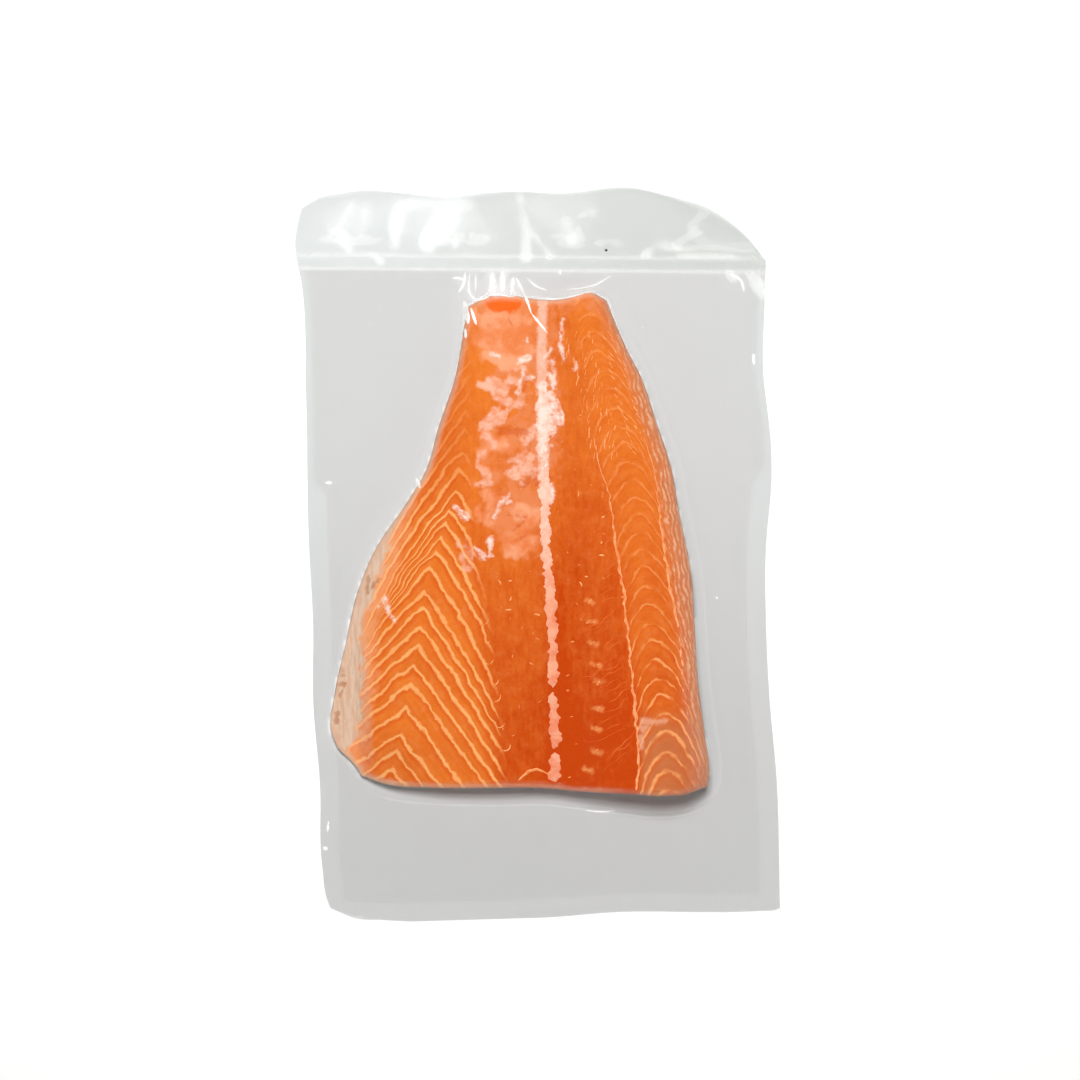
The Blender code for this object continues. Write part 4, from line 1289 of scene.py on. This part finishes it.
def film_shader(n, tint, haze_and_sheen, gloss, roughness, normal):
    """Clear tinted film with white haze and painted sheen, glossier at a glancing angle. Its haze, sheen and
    gloss cast no shadow.
    """
    clear = n.add("BsdfTransparent", {"Color": tint})
    white = n.add("BsdfDiffuse", {"Color": HAZE_AND_SHEEN_WHITE})
    lit = 1.0 - n.add("LightPath", output="Is Shadow Ray")
    body = n.add("MixShader", {0: haze_and_sheen * lit, 1: clear, 2: white})
    shine = n.add("BsdfGlossy", {"Color": (1, 1, 1, 1), "Roughness": roughness, "Normal": normal})
    fresnel = n.add("Fresnel", {"IOR": 1.5, "Normal": normal})
    share = n.math("MINIMUM", fresnel * gloss, gloss * 0.16)
    return n.finish(n.add("MixShader", {0: share * lit, 1: body, 2: shine}))


def film_material():
    n = Nodes("clear_film")
    x, y = n.axis(0), n.axis(1)
    seal, bare = n.field("seal"), 1.0 - n.field("cover")
    # Painted shade: the film's tint darkens towards the bottom, as the key light falls off
    low = y.ease(70 * MM, -110 * MM)
    tint = n.blend(low, FILM_TINT, LOW_SHADE_TINT)
    tint = n.blend(seal, tint, n.blend(low, SEAL_TINT, LOW_SHADE_TINT))
    header = n.blend(x.ease(-80 * MM, 80 * MM), HEADER_TINT, HEADER_TINT_RIGHT)
    tint = n.blend(n.field("header"), tint, header)
    tint = n.blend(n.field("cover"), tint, COVER_TINT)
    tint = n.blend(n.field("speck").ease(0.8, 0.4), tint, SPECK)
    # Painted sheen: white patches that stand partly for the crumpled film's whitening and partly for
    # reflected light
    crumpled_sheen = n.field("sheen") + n.noise(9.0, 3).shake(6.5)
    soft = n.field("soft_sheen") + n.noise(12.0).shake(5.0)
    haze_and_sheen = crumpled_sheen.ease(1.5, -1.5) * 0.16 + soft.ease(3.0, -3.5) * 0.05 + n.field("weld") * 0.16
    # Haze on the seals, and painted glow on the film beside the fillet, strongest by the tail
    beside = (n.field("beside") + n.noise(4.0).shake(2.0)).ease(1.6, 0.3)
    seal_haze_and_edge_glow = seal * 0.03 + beside * (y.ease(84 * MM, 100 * MM) * 0.17 + 0.03)
    haze_and_sheen = haze_and_sheen + (seal_haze_and_edge_glow + 0.02) * bare
    gloss = bare * (1.0 - n.field("beside").ease(9.0, 3.0) * 0.85) + 0.35
    creases = n.noise(5.0) + n.noise(1.4) * 0.25
    return film_shader(n, tint, haze_and_sheen, gloss, 0.06, n.bump(creases, 0.08))


def pleat_material():
    n = Nodes("film_pleats")
    # The pleats' white is partly the film's stress-whitening and partly painted highlight
    streaks = n.noise(0.8, 3).ease(0.3, 0.7)
    return film_shader(n, COVER_TINT, streaks * 0.30 + 0.70, 1.0, 0.12, n.bump(streaks, 0.05))


def floor_material():
    n = Nodes("pale_floor")
    return n.solid(n.blend(n.noise(60), FLOOR_PALE, FLOOR_PALER), 0.9, {})


# Stage


def make_floor():
    mesh = bpy.data.meshes.new("floor")
    corners = [(x * FLOOR_HALF, y * FLOOR_HALF, 0) for x, y in ((-1, -1), (1, -1), (1, 1), (-1, 1))]
    mesh.from_pydata(corners, [], [(0, 1, 2, 3)])
    mesh.materials.append(floor_material())
    floor = bpy.data.objects.new("floor", mesh)
    bpy.context.scene.collection.objects.link(floor)


def make_light(name, place, size, power, reflects):
    data = bpy.data.lights.new(name, "AREA")
    data.shape = "RECTANGLE"
    data.size, data.size_y = size
    data.energy = power
    light = bpy.data.objects.new(name, data)
    light.location = place
    light.rotation_euler = (-Vector(place)).to_track_quat("-Z", "Y").to_euler()
    light.visible_camera = False
    light.visible_glossy = reflects
    bpy.context.scene.collection.objects.link(light)


def make_world():
    """A bright ring low round the pack, and dark overhead, where the camera is."""
    world = bpy.data.worlds.new("studio")
    world.use_nodes = True
    tree = world.node_tree
    direction = tree.nodes.new("ShaderNodeTexCoord").outputs["Generated"]
    parts = tree.nodes.new("ShaderNodeSeparateXYZ")
    tree.links.new(direction, parts.inputs[0])
    ring = tree.nodes.new("ShaderNodeMapRange")
    ring.interpolation_type = "SMOOTHSTEP"
    for socket, value in (("From Min", 0.20), ("From Max", 0.50), ("To Min", 1.10), ("To Max", 0.02)):
        ring.inputs[socket].default_value = value
    tree.links.new(parts.outputs["Z"], ring.inputs["Value"])
    tree.links.new(ring.outputs[0], tree.nodes["Background"].inputs["Strength"])
    tree.nodes["Background"].inputs["Color"].default_value = (1, 1, 1, 1)
    bpy.context.scene.world = world
    bpy.context.scene.view_settings.view_transform = "Standard"


def make_camera():
    data = bpy.data.cameras.new("camera")
    data.sensor_width = SENSOR
    data.lens = SENSOR * CAMERA_HEIGHT / VIEW_WIDTH
    camera = bpy.data.objects.new("camera", data)
    camera.location = (CAMERA_AIM[0] * MM, CAMERA_AIM[1] * MM, CAMERA_HEIGHT * MM)
    camera.rotation_euler = (0, 0, CAMERA_ROLL)
    bpy.context.scene.collection.objects.link(camera)
    bpy.context.scene.camera = camera


make_camera()
make_world()
make_floor()
for light in LIGHTS:
    make_light(*light)
make_flesh(flesh_material())
make_skin(skin_material())
make_midline(strip_material())
make_seams(fat_material("seam_fat", SEAM_PALE, SEAM_DEEP, 2.2))
make_flecks(fat_material("fleck_fat", FLECK_PALE, FLECK_DEEP, 1.4))
make_threads(fat_material("thread_fat", THREAD, THREAD_DEEP, 2.6))
film = make_film(film_material())
make_pleats(film, pleat_material())
